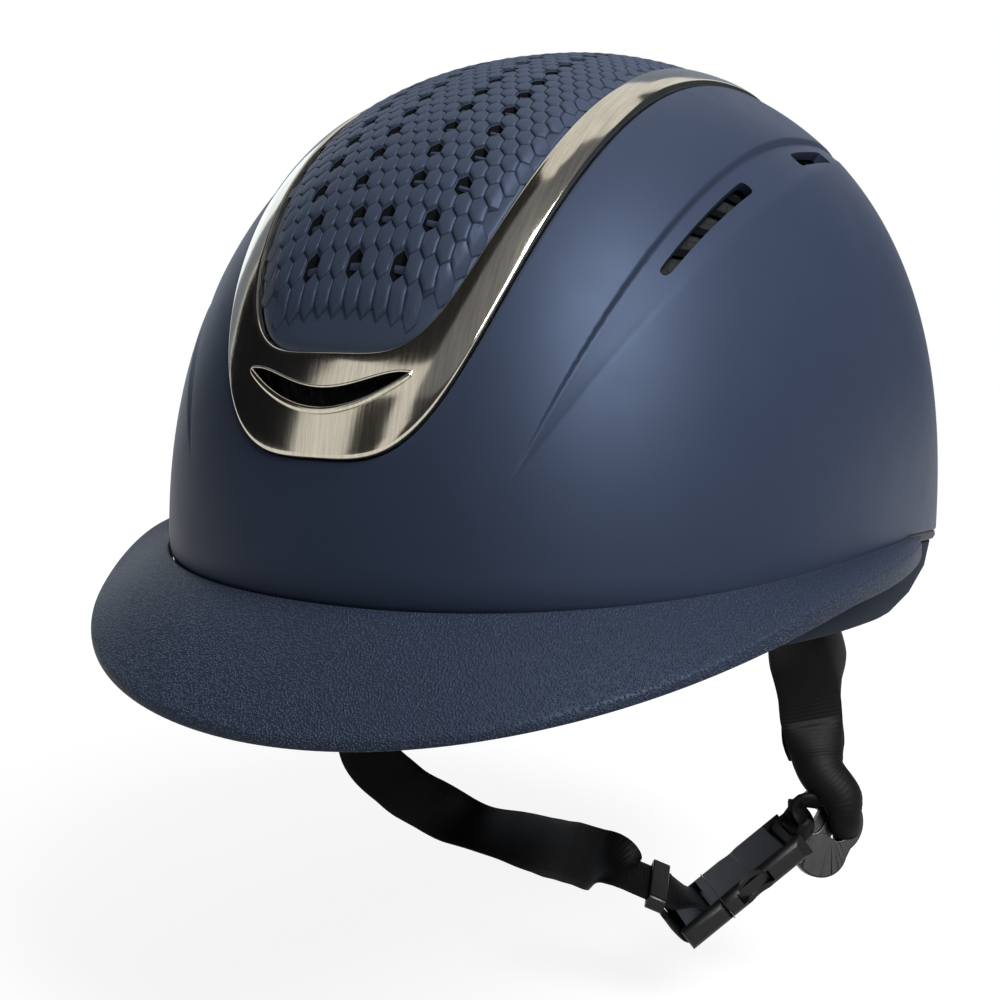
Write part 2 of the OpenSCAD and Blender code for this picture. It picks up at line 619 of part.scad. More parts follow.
// where the buckle hangs: the middle of its mouth, and its turn
mouth = [64, -17, -111.5];
buckle_turn = [-39, 2, 128.5];
function at_buckle(p) = mouth + spin(p, buckle_turn);
// where the divider hangs
divider_at = [88, 11, -88.7];
divider_turn = [71.3, 29.2, 29.3];
function at_divider(p) = divider_at + spin(p, divider_turn);
// where the keeper sits on the chin strap: its length runs along the strap
keeper_at = [48.3, -27.6, -108.7];
keeper_turn = [110.1, -8.9, 112.1];
keeper_l = 5.6;
function at_keeper(p) = keeper_at + spin(p, keeper_turn);
// webbing through stations [point, direction of its width, width]
function web_ring(s, i) =
    let (n = len(s), t = unit(s[min(i + 1, n - 1)][0] - s[max(i - 1, 0)][0]),
         w = unit(s[i][1] - t * (s[i][1] * t)), up = cross(t, w) * web_t / 2,
         h = w * (len(s[i]) > 2 ? s[i][2] : web_w) / 2, p = s[i][0])
    [p - h + up, p + h + up, p + h - up, p - h - up];
module webbing(s) {
    color(black) sweep([for (i = [0:len(s) - 1]) web_ring(s, i)]);
}
// the wall of the foam beside an anchor at place y: its point and its turn
function foam_x(y) =
    let (a = atan2(foam_half_w * sqrt(1 - pow(y / foam_back, 2)), -y)) ring_r(a, foam_layer) * sin(a);
function anchor_turn(y) = atan2(foam_x(y - 8) - foam_x(y + 8), 16);
function at_anchor(y, p) = [foam_x(y), y, anchor_up] + spin(p, [0, 0, anchor_turn(y)]);
plate_x = -(web_t + web_gap + 0.6 + anchor_t);   // inner face of a plate from the foam
module rrect(w, h, r) {
    union() {
        square([w - 2 * r, h], center = true);
        square([w, h - 2 * r], center = true);
        for (x = [-1, 1]) for (y = [-1, 1])
            translate([x * (w / 2 - r), y * (h / 2 - r)]) circle(r);
    }
}
slot_z = -anchor_h / 2 + 4.8;
module anchor(y) {
    color(black) translate([foam_x(y), y, anchor_up]) rotate([0, 0, anchor_turn(y)])
        translate([plate_x, 0, 0]) rotate([90, 0, 90]) linear_extrude(anchor_t) difference() {
            rrect(anchor_w, anchor_h, 4);
            translate([0, slot_z]) rrect(web_w + 2 * web_gap + 0.4, web_t + 4.2, 1);
            translate([0, anchor_h / 2 - rivet_d / 2 - 1]) circle(d = rivet_d / 2 + 0.2);
        }
}
rivet_in = 7;             // how far a rivet reaches into the foam
module at_rivet(y) {
    translate([foam_x(y), y, anchor_up]) rotate([0, 0, anchor_turn(y)])
        translate([0, 0, anchor_h / 2 - rivet_d / 2 - 1]) rotate([0, 90, 0]) children();
}
module rivet(y) {
    at_rivet(y) translate([0, 0, plate_x - 0.1]) union() {
        cylinder(d = rivet_d / 2, h = rivet_in - plate_x);
        translate([0, 0, -1.4]) cylinder(d1 = rivet_d * 0.6, d2 = rivet_d, h = 1.4);
    }
}
module anchor_rivets() {
    color(gunmetal) both_sides() {
        rivet(anchor_front);
        rivet(anchor_back);
    }
}
module anchor_left_front() { anchor(anchor_front); }
module anchor_left_back() { anchor(anchor_back); }
module anchor_right_front() { mirror([1, 0, 0]) anchor(anchor_front); }
module anchor_right_back() { mirror([1, 0, 0]) anchor(anchor_back); }
// the sewn end of a strap, through the slot of its anchor and down the foam
function strap_top(y) = let (w = spin([0, 1, 0], [0, 0, anchor_turn(y)]), xi = plate_x - web_t / 2 - 0.35)
    [[at_anchor(y, [-0.8 - web_t / 2, 0, slot_z + 5]), w],
     [at_anchor(y, [-0.7 - web_t / 2, 0, slot_z + 2.2]), w],
     [at_anchor(y, [plate_x + anchor_t / 2, 0, slot_z]), w],
     [at_anchor(y, [xi, 0, slot_z - 2.2]), w]];
function flip(s) = [for (q = s) [[-q[0][0], q[0][1], q[0][2]], [-q[1][0], q[1][1], q[1][2]],
                                 len(q) > 2 ? q[2] : web_w]];
slot_w = 0.5 * web_w;     // width of the gathered straps in the divider
strap_left_front_path = concat(strap_top(anchor_front), [
    [[77.6, -12, -8], [0, 1, 0]], [[77.6, -9.5, -19], [0.1, 1, 0]],
    [[78.8, -2.5, -31], [0.4, 0.9, 0.1]], [[80, 4.5, -40], [0.7, 0.7, 0.1]],
    [[81, 8.8, -49], [0.75, 0.65, 0.1]], [[82, 11, -59], [0.8, 0.6, 0.1]],
    [[83.6, 11, -67.5], [0.8, 0.6, 0.2], 0.86 * web_w],
    [[86.2, 9.4, -74.2], [0.75, 0.6, 0.4], 0.7 * web_w],
    [at_divider([0.2, 6.4, 4.7]), spin([0.3, 0.9, 0.2], divider_turn), 0.6 * web_w],
    [at_divider([2.8, 3, 3.2]), spin([0.2, 0.97, 0], divider_turn), 0.54 * web_w],
    [at_divider([5.2, 0.9, 0]), spin([0.1, 1, 0], divider_turn), slot_w],
    [at_divider([6.6, 0.7, -4]), spin([0, 1, 0], divider_turn), slot_w]]);
strap_left_back_path = concat(strap_top(anchor_back), [
    [[71.4, 49.5, -8], [-0.3, 1, 0]], [[71.3, 52, -19], [-0.34, 1, 0]],
    [[72.4, 57.5, -31.5], [-0.08, 0.8, -0.6]], [[77, 49, -37.5], [0.1, 0.62, -0.78]],
    [[79.2, 34, -42.8], [0.3, 0.5, -0.8]], [[79.8, 22.5, -50], [0.55, 0.6, -0.45]],
    [[80.6, 16, -59.5], [0.78, 0.62, 0]], [[82, 14, -67], [0.8, 0.6, 0.1]],
    [[83.2, 13.2, -71.5], [0.8, 0.6, 0.1], 0.86 * web_w]]);
strap_right_back_path = concat(flip(strap_top(anchor_back)), [
    [[-71.5, 49, -8], [0.3, 1, 0]], [[-72.5, 46, -22], [0.2, 1, 0]],
    [[-75.5, 31, -42], [0, 1, -0.5]], [[-76.2, 12, -59], [0, 0.8, -0.6]],
    [[-74.9, -3.5, -74], [0.1, 0.8, -0.5]], [[-70.4, -10.2, -82.4], [0.505, 0.713, -0.33]]]);
chin_strap_path = let (k = spin([1, 0, 0], keeper_turn)) concat(flip(strap_top(anchor_front)), [
    [[-77.6, -12, -8], [0, 1, 0]], [[-78, -10, -22], [0, 1, 0]],
    [[-79.5, -9, -40], [0, 1, 0]], [[-80, -10, -60], [0, 1, 0]],
    [[-79.5, -11.5, -78], [0.2, 1, 0]], [[-76, -12, -91], [0.78, 0.62, 0.1]],
    [[-66, -5, -103.5], [0.72, 0.66, 0.23]], [[-55, 5, -113], [0.6, 0.65, 0.45]],
    [[-43, 8, -117], [0.27, 0.8, 0.5]], [[-24.6, 4.3, -116], [-0.07, 0.78, 0.62]],
    [[-7, -3.4, -113.9], [-0.08, 0.61, 0.79]], [[13.3, -18, -108.2], [-0.14, 0.6, 0.79]],
    [[24, -25, -105.8], [-0.2, 0.62, 0.76]], [[33, -30.2, -103.8], [-0.3, 0.72, 0.62]],
    [at_keeper([0, 0, -10]), k], [at_keeper([0, 0, -8.6]), k],
    [at_keeper([0, 0, 3.1]), k], [at_keeper([0, 0, 4.4]), k],
    [at_buckle([0, 7.2, 5.6]), spin([1, 0, 0], buckle_turn)],
    [at_buckle([0, 4.9, 1.6]), spin([1, 0, 0], buckle_turn)],
    [at_buckle([0, 4.7, -1.6]), spin([1, 0, 0], buckle_turn)],
    [at_buckle([0, 7, -3.3]), spin([1, 0, 0], buckle_turn)],
    [at_buckle([0, 12.6, -3.3]), spin([1, 0, 0], buckle_turn)],
    [at_buckle([0, 15.6, -1.2]), spin([1, 0, 0], buckle_turn)],
    [at_buckle([0, 16.6, 3]), spin([1, 0, 0], buckle_turn)],
    [at_buckle([0, 16.6, 9]), spin([1, 0, 0], buckle_turn)]]);
module strap_left_front() { webbing(strap_left_front_path); }
module strap_left_back() { webbing(strap_left_back_path); }
module strap_right_back() { webbing(strap_right_back_path); }
module chin_strap() { webbing(chin_strap_path); }
module divider() {
    color(black) translate(divider_at) rotate(divider_turn)
        translate([0, 0, -divider_t / 2]) linear_extrude(divider_t) difference() {
            union() {
                translate([1.4, -0.8]) circle(11);
                translate([3, -10.5]) circle(8.6);
                translate([3, -5.5]) square([16.8, 9], center = true);
            }
            // slot of the straps, and hole of the socket's loop
            translate([4.9, 0.9]) rrect(6.6, slot_w + 2.8, 2.9);
            translate(loop_hole) rrect(7.2, 10.4, 3.4);
        }
}
loop_hole = [-3.6, -2.4];
module socket_loop() {
    x = spin([1, 0, 0], buckle_turn);
    y = spin([0, 1, 0], divider_turn);
    b = -socket_l;
    g = 1.15 + 0.5 + web_t / 2;
    h = loop_hole;
    webbing([
        [at_divider([h[0], h[1], -3.4]), y, 7.6],
        [at_divider([h[0], h[1], 0]), y, 7.6],
        [at_divider([h[0] - 0.3, h[1], 3.4]), y, 7.8],
        [at_divider([h[0] - 2.6, h[1] + 0.5, 6.2]), y, 0.45 * web_w],
        [at_buckle([-2.4, b - 3.4, 5]), x, 0.62 * web_w],
        [at_buckle([-0.4, b - 1, g + 0.6]), x, 0.88 * web_w],
        [at_buckle([0, b + 2, g]), x], [at_buckle([0, b + 4.8, 0.9]), x],
        [at_buckle([0, b + 4.8, -0.9]), x], [at_buckle([0, b + 2, -g]), x],
        [at_buckle([0, b + 0.5, -g]), x, 0.5 * web_w]]);
}
// Buckle, drawn with its mouth at the origin, the plug leaving along +Y
module at_mouth() { translate(mouth) rotate(buckle_turn) children(); }
inner_w = buckle_w - 2 * socket_wall;
inner_t = buckle_t - 2 * socket_wall;
pocket_l = prong_l + 2;
module plan_slab(t) { translate([0, 0, -t / 2]) linear_extrude(t) children(); }
module buckle_socket() {
    color(black) at_mouth() difference() {
        intersection() {
            plan_slab(buckle_t)
                polygon([[-buckle_w / 2, 0], [buckle_w / 2, 0], [buckle_w / 2, -pocket_l],
                         [web_w / 2 + 2.6, -socket_l + 3], [web_w / 2 + 1, -socket_l],
                         [-web_w / 2 - 1, -socket_l], [-web_w / 2 - 2.6, -socket_l + 3],
                         [-buckle_w / 2, -pocket_l]]);
            // rounded long edges
            rotate([90, 0, 0]) linear_extrude(socket_l) rrect(buckle_w, buckle_t, 2.6);
        }
        // the pocket, open at the mouth
        translate([0, -pocket_l / 2 + 0.5, 0])
            cube([inner_w, pocket_l + 1, inner_t], center = true);
        // side windows over the prongs
        for (x = [-1, 1]) translate([x * buckle_w / 2, -10.5, 0])
            cube([2 * socket_wall + 5, 12, inner_t], center = true);
        // top and bottom thumb hollows at the windows
        for (x = [-1, 1]) translate([x * (buckle_w / 2 + 3.2), -10.5, -buckle_t])
            cylinder(r = 6, h = 2 * buckle_t);
        // slot for the webbing, leaving a bar
        translate([0, -socket_l + 4.4, 0])
            cube([web_w + 2 * web_gap, 4, 2 * buckle_t], center = true);
        for (z = [-1, 1]) translate([0, -socket_l + 1, z * (1.15 + buckle_t / 2)])
            cube([web_w + 2 * web_gap, 8.4, buckle_t], center = true);
    }
}
module buckle_plug() {
    color(black) at_mouth() union() {
        // base with rails, and a slot and a bar for the webbing
        difference() {
            intersection() {
                translate([0, plug_l / 2 + 0.3, 0]) plan_slab(buckle_t) rrect(buckle_w, plug_l, 2);
                translate([0, plug_l + 1, 0]) rotate([90, 0, 0]) linear_extrude(plug_l + 1)
                    rrect(buckle_w, buckle_t, 2.6);
            }
            translate([0, 4.7, 0]) cube([web_w + 2 * web_gap, 3.4, 2 * buckle_t], center = true);
            for (z = [-1, 1]) translate([0, 3 + plug_l / 2, z * (1.95 + buckle_t / 2)])
                cube([web_w + 2 * web_gap, plug_l, buckle_t], center = true);
            translate([0, plug_l + 0.3, 0])
                cube([web_w + 2 * web_gap, 2 * (plug_l - 13), 2 * buckle_t], center = true);
        }
        // tongue between the prongs
        translate([0, -4.2, 0]) cube([6, 9.4, inner_t - 2 * plug_gap], center = true);
    }
}
prong_x = inner_w / 2 - plug_gap - prong_w / 2;
prong_y = -prong_w / 2;    // pivot of a prong
module prong() {
    // root, beam and a swollen head that shows in the side window
    t = inner_t - 2 * plug_gap;
    plan_slab(t) union() {
        translate([prong_x, prong_y]) circle(prong_w / 2);
        translate([prong_x, -prong_l + prong_w / 2]) circle(prong_w / 2);
        translate([prong_x - prong_w / 2, -8]) square([prong_w * 0.66, 8 + prong_y]);
        translate([prong_x - prong_w / 2, -prong_l + prong_w / 2])
            square([prong_w, prong_l - 5 - prong_w / 2]);
    }
}
module prong_upper() { color(black) at_mouth() prong(); }
module prong_lower() { color(black) at_mouth() mirror([1, 0, 0]) prong(); }
module strap_keeper() {
    // a smooth loop round the webbing
    color(black) translate(keeper_at) rotate(keeper_turn)
        translate([0, 0, -keeper_l / 2]) linear_extrude(keeper_l) difference() {
            rrect(web_w + 2 * web_gap + 2.6, web_t + 2 * web_gap + 2.6, 1.2);
            rrect(web_w + 2 * web_gap, web_t + 2 * web_gap, 0.4);
        }
}

// One call for each piece
outer_shell();
lower_shell();
edging();
peak();
crown_panel();
panel_frame();
intake_mesh();
vent_mesh_left();
vent_mesh_right();
foam_liner();
brow_pad();
nape_pad();
crown_pad();
hook_spots();
anchor_left_front();
anchor_left_back();
anchor_right_front();
anchor_right_back();
anchor_rivets();
strap_left_front();
strap_left_back();
strap_right_back();
chin_strap();
divider();
socket_loop();
buckle_socket();
buckle_plug();
prong_upper();
prong_lower();
strap_keeper();
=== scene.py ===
"""A riding helmet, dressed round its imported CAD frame.

Lengths in the formulas are millimetres and angles degrees, as in the part's source; MM turns
them into Blender's metres as a mesh is made. +Z is up, the peak points to -Y, and the
wearer's left is +X.

The skin. At plan angle a, 0 in front and 180 behind, the shell's level ring has the radius

    R(a) = ((|sin a| / W)^p + (|cos a| / L)^p)^(-1/p)

with W half the width and L the length ahead of the origin or behind it. At height z the
radius shrinks to r(a, z) = R(a) (1 - (|z| / H)^n)^(1/n). A layer of depth d has W, L and H
smaller by d. Every shell, lining and pad here is a layer of this one skin.

The crown. A direction from the origin has an arc angle, from the front over the top, and a
side angle, out to the left: d = (sin s, -cos a cos s, sin a cos s). The frame, the panel,
the intake and the side channels are drawn in these two angles.
"""

# %% [markdown]
# ## Start
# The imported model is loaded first. Its box is kept, because the dressed part stays inside it.

import math

import bpy
import numpy as np
from mathutils import Euler, Matrix, Vector


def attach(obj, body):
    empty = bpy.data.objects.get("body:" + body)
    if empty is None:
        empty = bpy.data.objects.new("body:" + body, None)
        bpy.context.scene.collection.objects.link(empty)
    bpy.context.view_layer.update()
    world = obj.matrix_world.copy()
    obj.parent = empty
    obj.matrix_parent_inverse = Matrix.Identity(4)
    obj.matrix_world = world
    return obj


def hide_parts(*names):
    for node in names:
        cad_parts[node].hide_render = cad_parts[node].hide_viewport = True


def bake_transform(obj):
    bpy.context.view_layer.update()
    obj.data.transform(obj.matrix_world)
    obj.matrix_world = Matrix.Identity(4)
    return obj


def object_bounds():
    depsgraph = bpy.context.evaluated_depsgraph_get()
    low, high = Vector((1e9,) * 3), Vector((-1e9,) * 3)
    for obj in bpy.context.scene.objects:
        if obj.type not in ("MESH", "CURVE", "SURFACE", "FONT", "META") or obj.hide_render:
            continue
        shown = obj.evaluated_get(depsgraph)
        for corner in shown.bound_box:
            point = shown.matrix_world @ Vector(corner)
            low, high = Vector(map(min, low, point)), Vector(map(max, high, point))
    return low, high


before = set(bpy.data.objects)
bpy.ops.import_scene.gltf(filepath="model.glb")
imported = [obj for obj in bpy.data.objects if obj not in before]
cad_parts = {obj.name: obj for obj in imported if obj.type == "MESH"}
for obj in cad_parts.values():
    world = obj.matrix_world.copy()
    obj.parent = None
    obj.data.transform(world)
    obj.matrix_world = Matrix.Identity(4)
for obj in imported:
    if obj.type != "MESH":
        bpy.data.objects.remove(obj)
cad_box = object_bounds()
MM = 0.001

# %% [markdown]
# ## Driving dimensions
# The same named sizes as in the part's source.

# %%
SHELL_HALF_W, SHELL_FRONT, SHELL_BACK, CROWN_H = 112.0, 139.5, 141.5, 149.5
CROWN_LEAN, TUCK_H, SHELL_WALL = 2.8, 50.0, 3.4
P_FRONT, P_BACK, N_FRONT, N_BACK = 2.37, 2.33, 2.17, 2.42
SEAM_SIDE, SEAM_DIP, UNDER_PEAK = 3.4, 13.6, 4.5
LOW_SIDE, LOW_BROW, LOW_NAPE, LOW_WALL, LOW_STEP, EDGING_H = 21.0, 4.0, 12.0, 2.0, 1.6, 3.0
PEAK_REACH, PEAK_DROP, PEAK_SIDE_DROP, PEAK_END = 27.5, 30.5, 8.0, 95.0
LIP_H, LIP_SIDE_H, PEAK_ROOT = 3.2, 6.0, 1.5
PANEL_MID, FRAME_ARC, FRAME_SIDE, FRAME_CORNER = 69.0, 58.5, 21.0, 0.57
PANEL_ARC, PANEL_SIDE, PANEL_CORNER = 47.2, 16.8, 0.44
SEAT, FRAME_RISE, FIT_GAP = 2.0, 1.0, 0.4
CELL_W, CELL_ROW, CELL_RISE, HOLE_START, HOLE_ROWS = 4.7, 3.65, 0.75, 123.0, 17
PANEL_MARGIN, PANEL_END_MARGIN = 1.3, 5.0
SLOT_HALF, SLOT_LOW, SLOT_HIGH, SLOT_TURN = 10.3, 15.7, 2.2, 4.2
CHANNEL = (10.0, 116.0, 32.0, 5.9, 1.9)  # start, end, side, width, depth
VENTS = ((38.5, 62.0, 1.9, 3.1, 3.75), (81.0, 96.0, 1.7, 3.9, 3.9))  # ends, lower, upper edges
FOAM_HALF_W, FOAM_FRONT, FOAM_BACK, FOAM_H = 84.0, 105.0, 106.0, 118.0
PAD_T, PAD_H, PAD_GAP, CROWN_PAD_T = 7.0, 34.0, 0.75, 6.0
WEB_W, WEB_T, WEB_GAP = 20.0, 1.5, 0.4
ANCHOR_FRONT, ANCHOR_BACK, ANCHOR_UP, ANCHOR_H, ANCHOR_T = -14.0, 48.0, 14.0, 20.0, 2.2
BUCKLE_W, BUCKLE_T, SOCKET_L, SOCKET_WALL = 25.4, 7.4, 31.0, 1.8
DEG = 180 / (math.pi * 140)  # crown angle of one millimetre


# %% [markdown]
# ## The skin
# Each function takes arrays and gives arrays, so a whole surface is worked out at once.

# %%
def sin(a):
    return np.sin(np.radians(a))


def cos(a):
    return np.cos(np.radians(a))


def ease(x):
    c = np.clip(x, 0, 1)
    return c * c * (3 - 2 * c)


def mix(a, b, u):
    return a + (b - a) * u


def unit(v):
    return v / np.linalg.norm(v, axis=-1, keepdims=True)


def points(x, y, z):
    return np.stack(np.broadcast_arrays(x, y, z), -1)


def whole_turn(n):
    """Plan angles of n columns all the way round."""
    return np.linspace(-180, 180, n, endpoint=False)


def layer(depth):
    """The depth, or four of them, as depths of the sides, front, back and crown."""
    return depth if isinstance(depth, tuple) else (depth,) * 4


FOAM = (SHELL_HALF_W - FOAM_HALF_W, SHELL_FRONT - FOAM_FRONT, SHELL_BACK - FOAM_BACK,
        CROWN_H - FOAM_H)


def deeper(depths, by):
    return tuple(d + by for d in depths)


def ring_r(a, depth):
    w, f, b, _ = layer(depth)
    p = P_FRONT + (P_BACK - P_FRONT) * ease((1 - cos(a)) / 2)
    half = np.where(cos(a) > 0, SHELL_FRONT - f, SHELL_BACK - b)
    return (abs(sin(a) / (SHELL_HALF_W - w)) ** p + abs(cos(a) / half) ** p) ** (-1 / p)


def n_at(a):
    return N_FRONT + (N_BACK - N_FRONT) * ease((1 - cos(a)) / 2)


def height(z, depth):
    return np.where(z >= 0, CROWN_H - layer(depth)[3], TUCK_H)


def lean(z):
    return CROWN_LEAN * (np.maximum(z, 0) / CROWN_H) ** 2


def skin_r(a, z, depth):
    n = n_at(a)
    return ring_r(a, depth) * np.maximum(0, 1 - abs(z / height(z, depth)) ** n) ** (1 / n)


def skin(a, z, depth):
    r = skin_r(a, z, depth)
    return points(r * sin(a), lean(z) - r * cos(a), z)


def along(d, depth):
    """The point of a layer in direction d."""
    a = np.degrees(np.arctan2(d[..., 0], -d[..., 1]))
    n = n_at(a)
    flat = np.hypot(d[..., 0], d[..., 1]) / ring_r(a, depth)
    k = (flat ** n + abs(d[..., 2] / height(d[..., 2], depth)) ** n) ** (-1 / n)
    return points(k * d[..., 0], k * d[..., 1] + lean(k * d[..., 2]), k * d[..., 2])


def towards(azimuth, elevation):
    """A direction; the azimuth is 0 in front and 90 at the wearer's left."""
    a, e = math.radians(azimuth), math.radians(elevation)
    return Vector((math.sin(a) * math.cos(e), -math.cos(a) * math.cos(e), math.sin(e)))


def aim(arc, side):
    """The direction of two crown angles."""
    return points(sin(side), -cos(arc) * cos(side), sin(arc) * cos(side))


def on_crown(arc, side, depth):
    return along(aim(arc, side), depth)


def over(x, y, depth):
    """The point of a layer above a place in plan."""
    def z_at(x, y):
        a = np.degrees(np.arctan2(x, -y))
        r, n = np.hypot(x, y) / ring_r(a, depth), n_at(a)
        return (CROWN_H - depth) * np.maximum(0, 1 - r ** n) ** (1 / n)
    z = z_at(x, y)
    for _ in range(3):
        z = z_at(x, y - lean(z))
    return points(x, y, z)


def seam_z(a):
    return SEAM_SIDE - SEAM_DIP * cos(a) ** 2


def under_peak(a):
    return UNDER_PEAK * (1 - ease((abs(a) - (PEAK_END - 14)) / 12))


def rim_z(a):
    return seam_z(a) - under_peak(a)


def low_z(a):
    return -(LOW_SIDE + LOW_NAPE * ((1 - cos(a)) / 2) ** 2 + LOW_BROW * ((1 + cos(a)) / 2) ** 3)


def outline(turn, arc, side, corner):
    """A closed line on the crown; the turns crowd towards its blunt ends."""
    q = np.minimum(abs(turn), 180 - abs(turn))
    w = 90 * (q / 90) ** 1.6
    t = np.sign(turn) * np.where(abs(turn) > 90, 180 - w, w)
    return PANEL_MID - arc * cos(t), side * np.sign(sin(t)) * abs(sin(t)) ** corner


def frame_line(t, inset):
    return outline(t, FRAME_ARC - inset, FRAME_SIDE - inset, FRAME_CORNER)


def panel_line(t, inset):
    return outline(t, PANEL_ARC - inset, PANEL_SIDE - inset, PANEL_CORNER)


# %% [markdown]
# ## Meshes
# `grid_faces` joins a grid of points; a piece rides on its body as soon as it is made.

# %%
def grid_faces(n, m, round_n=False, round_m=True):
    """Quads of an n by m grid, closed round either way."""
    k = np.arange(n if round_n else n - 1)[:, None]
    j = np.arange(m if round_m else m - 1)[None, :]
    a, b = k * m + j, k * m + (j + 1) % m
    c, d = (k + 1) % n * m + (j + 1) % m, (k + 1) % n * m + j
    return np.stack([a, b, c, d], -1).reshape(-1, 4).tolist()


def grid_uv(n, m, u, v):
    """Corner coordinates for a tube of n rings of m points: u has n values, v has m + 1."""
    ks = np.arange(n - 1)[:, None, None] + np.array([0, 0, 1, 1])
    js = np.arange(m)[None, :, None] + np.array([0, 1, 1, 0])
    return np.stack(np.broadcast_arrays(u[ks], v[js]), -1).reshape(-1, 2)


def capped(rings):
    """A tube of rings with flat ends: points and faces."""
    n, m = rings.shape[:2]
    ends = [list(range(m))[::-1], list(range((n - 1) * m, n * m))]
    return rings.reshape(-1, 3), grid_faces(n, m) + ends


def bowl(first, rings, last):
    """Rings between two poles: points and faces."""
    n, m = rings.shape[:2]
    z = n * m
    j = np.arange(m)
    k = (j + 1) % m
    fans = np.concatenate([np.stack([np.full(m, z), k, j], -1),
                           np.stack([j + z - m, k + z - m, np.full(m, z + 1)], -1)])
    return (np.concatenate([rings.reshape(-1, 3), [first], [last]]),
            grid_faces(n, m) + fans.tolist())


def chaikin(rings, times):
    """Rounds the corners of each ring by cutting them, a quarter of each side."""
    for _ in range(times):
        nxt = np.roll(rings, -1, 1)
        rings = np.stack([mix(rings, nxt, 0.25), mix(rings, nxt, 0.75)], 2)
        rings = rings.reshape(rings.shape[0], -1, 3)
    return rings


def merged(surfaces):
    """Several surfaces as one: points and faces."""
    v, faces, first = [], [], 0
    for some, sides in surfaces:
        faces += [[n + first for n in f] for f in sides]
        v.append(some)
        first += len(some)
    return np.concatenate(v), faces


def outward(v, faces):
    """The closed surface with its faces turned so that its volume is positive."""
    total = 0.0
    for f in faces:
        for i in range(1, len(f) - 1):
            total += np.dot(v[f[0]], np.cross(v[f[i]], v[f[i + 1]]))
    return v, (faces if total > 0 else [f[::-1] for f in faces])


def mesh_object(name, v, faces, material=None, uv=None, angle=38):
    me = bpy.data.meshes.new(name)
    me.from_pydata((np.asarray(v) * MM).tolist(), [], faces)
    if uv is not None:
        me.uv_layers.new(name="UVMap").uv.foreach_set("vector", np.asarray(uv).ravel())
    me.shade_smooth()
    me.set_sharp_from_angle(angle=math.radians(angle))
    if material:
        me.materials.append(material)
    o = bpy.data.objects.new(name, me)
    bpy.context.scene.collection.objects.link(o)
    return o


def solid(name, surface, material=None):
    """An object of a closed surface, a pair of points and faces."""
    return mesh_object(name, *outward(*surface), material)


def hoop(name, rings, material):
    """An object of closed rows, the last of them joined to the first."""
    n, m = rings.shape[:2]
    return solid(name, (rings.reshape(-1, 3), grid_faces(n, m, round_n=True)), material)


def two_tone(o, material, chosen):
    """The chosen faces take a second material."""
    o.data.materials.append(material)
    o.data.polygons.foreach_set("material_index", [int(q) for q in chosen])


def settle(o, body="helmet", nodes=()):
    """The piece rides on a body, if one is named, and stands for CAD nodes."""
    if body:
        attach(o, body)
    if nodes:
        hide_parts(*nodes)
    return o


def shape_now(o):
    """The object's mesh with its modifiers worked in, and the modifiers gone."""
    done = bpy.data.meshes.new_from_object(
        o.evaluated_get(bpy.context.evaluated_depsgraph_get()))
    o.modifiers.clear()
    old, o.data = o.data, done
    bpy.data.meshes.remove(old)
    return o


def cut(o, cutters, angle=38):
    """Each cutter, a closed surface, is taken out of the object."""
    for surface in cutters:
        c = solid("cutter", surface)
        m = o.modifiers.new("cut", "BOOLEAN")
        m.object, m.operation, m.solver = c, "DIFFERENCE", "MANIFOLD"
        shape_now(o)
        bpy.data.objects.remove(c)
    o.data.shade_smooth()
    o.data.set_sharp_from_angle(angle=math.radians(angle))
    return o


def bevel(o, width, segments=3, angle=40):
    m = o.modifiers.new("bevel", "BEVEL")
    m.width, m.segments, m.limit_method = width * MM, segments, "ANGLE"
    m.angle_limit = math.radians(angle)
    m.harden_normals = True
    return o


# %% [markdown]
# ## Materials
# One helper makes a shader; the others add grain and weave to it, in object coordinates or along
# the webbing's length and width, so that a pattern keeps its real scale.

# %%
def shader(name, colour, rough, metal=0.0, specular=0.5, sheen=0.0, tint=(1, 1, 1)):
    m = bpy.data.materials.new(name)
    m.use_nodes = True
    for socket, value in (("Base Color", (*colour, 1)), ("Roughness", rough),
                          ("Metallic", metal), ("Specular IOR Level", specular),
                          ("Specular Tint", (*tint, 1)), ("Sheen Weight", sheen)):
        bsdf(m).inputs[socket].default_value = value
    return m


def bsdf(m):
    return m.node_tree.nodes["Principled BSDF"]


def shade(colour, k):
    return tuple(c * k for c in colour)


def node(m, kind, **values):
    """A node of a material; values named in_... go on its sockets."""
    n = m.node_tree.nodes.new(kind)
    for k, v in values.items():
        if k.startswith("in_"):
            n.inputs[k[3:].replace("_", " ")].default_value = v
        else:
            setattr(n, k, v)
    return n


def join(m, a, b):
    m.node_tree.links.new(a, b)


def place(m, stretch=(1, 1, 1), uv=False):
    """Coordinates in millimetres, stretched."""
    c = node(m, "ShaderNodeTexCoord")
    k = 1.0 if uv else 1 / MM
    p = node(m, "ShaderNodeMapping", in_Scale=tuple(k * s for s in stretch))
    join(m, c.outputs["UV" if uv else "Object"], p.inputs["Vector"])
    return p.outputs["Vector"]


def noise(m, where, size, detail=3.0, rough=0.55):
    n = node(m, "ShaderNodeTexNoise", in_Scale=1 / size, in_Detail=detail, in_Roughness=rough)
    join(m, where, n.inputs["Vector"])
    return n.outputs["Fac"]


def cells(m, where, size, feature="F1", jitter=1.0):
    n = node(m, "ShaderNodeTexVoronoi", feature=feature, in_Scale=1 / size,
             in_Randomness=jitter)
    join(m, where, n.inputs["Vector"])
    return n.outputs["Distance"]


def wave(m, where, axis, period):
    """Bands across an axis, a period of them in millimetres."""
    n = node(m, "ShaderNodeTexWave", bands_direction=axis, in_Scale=2 * math.pi / (20 * period))
    join(m, where, n.inputs["Vector"])
    return n.outputs["Fac"]


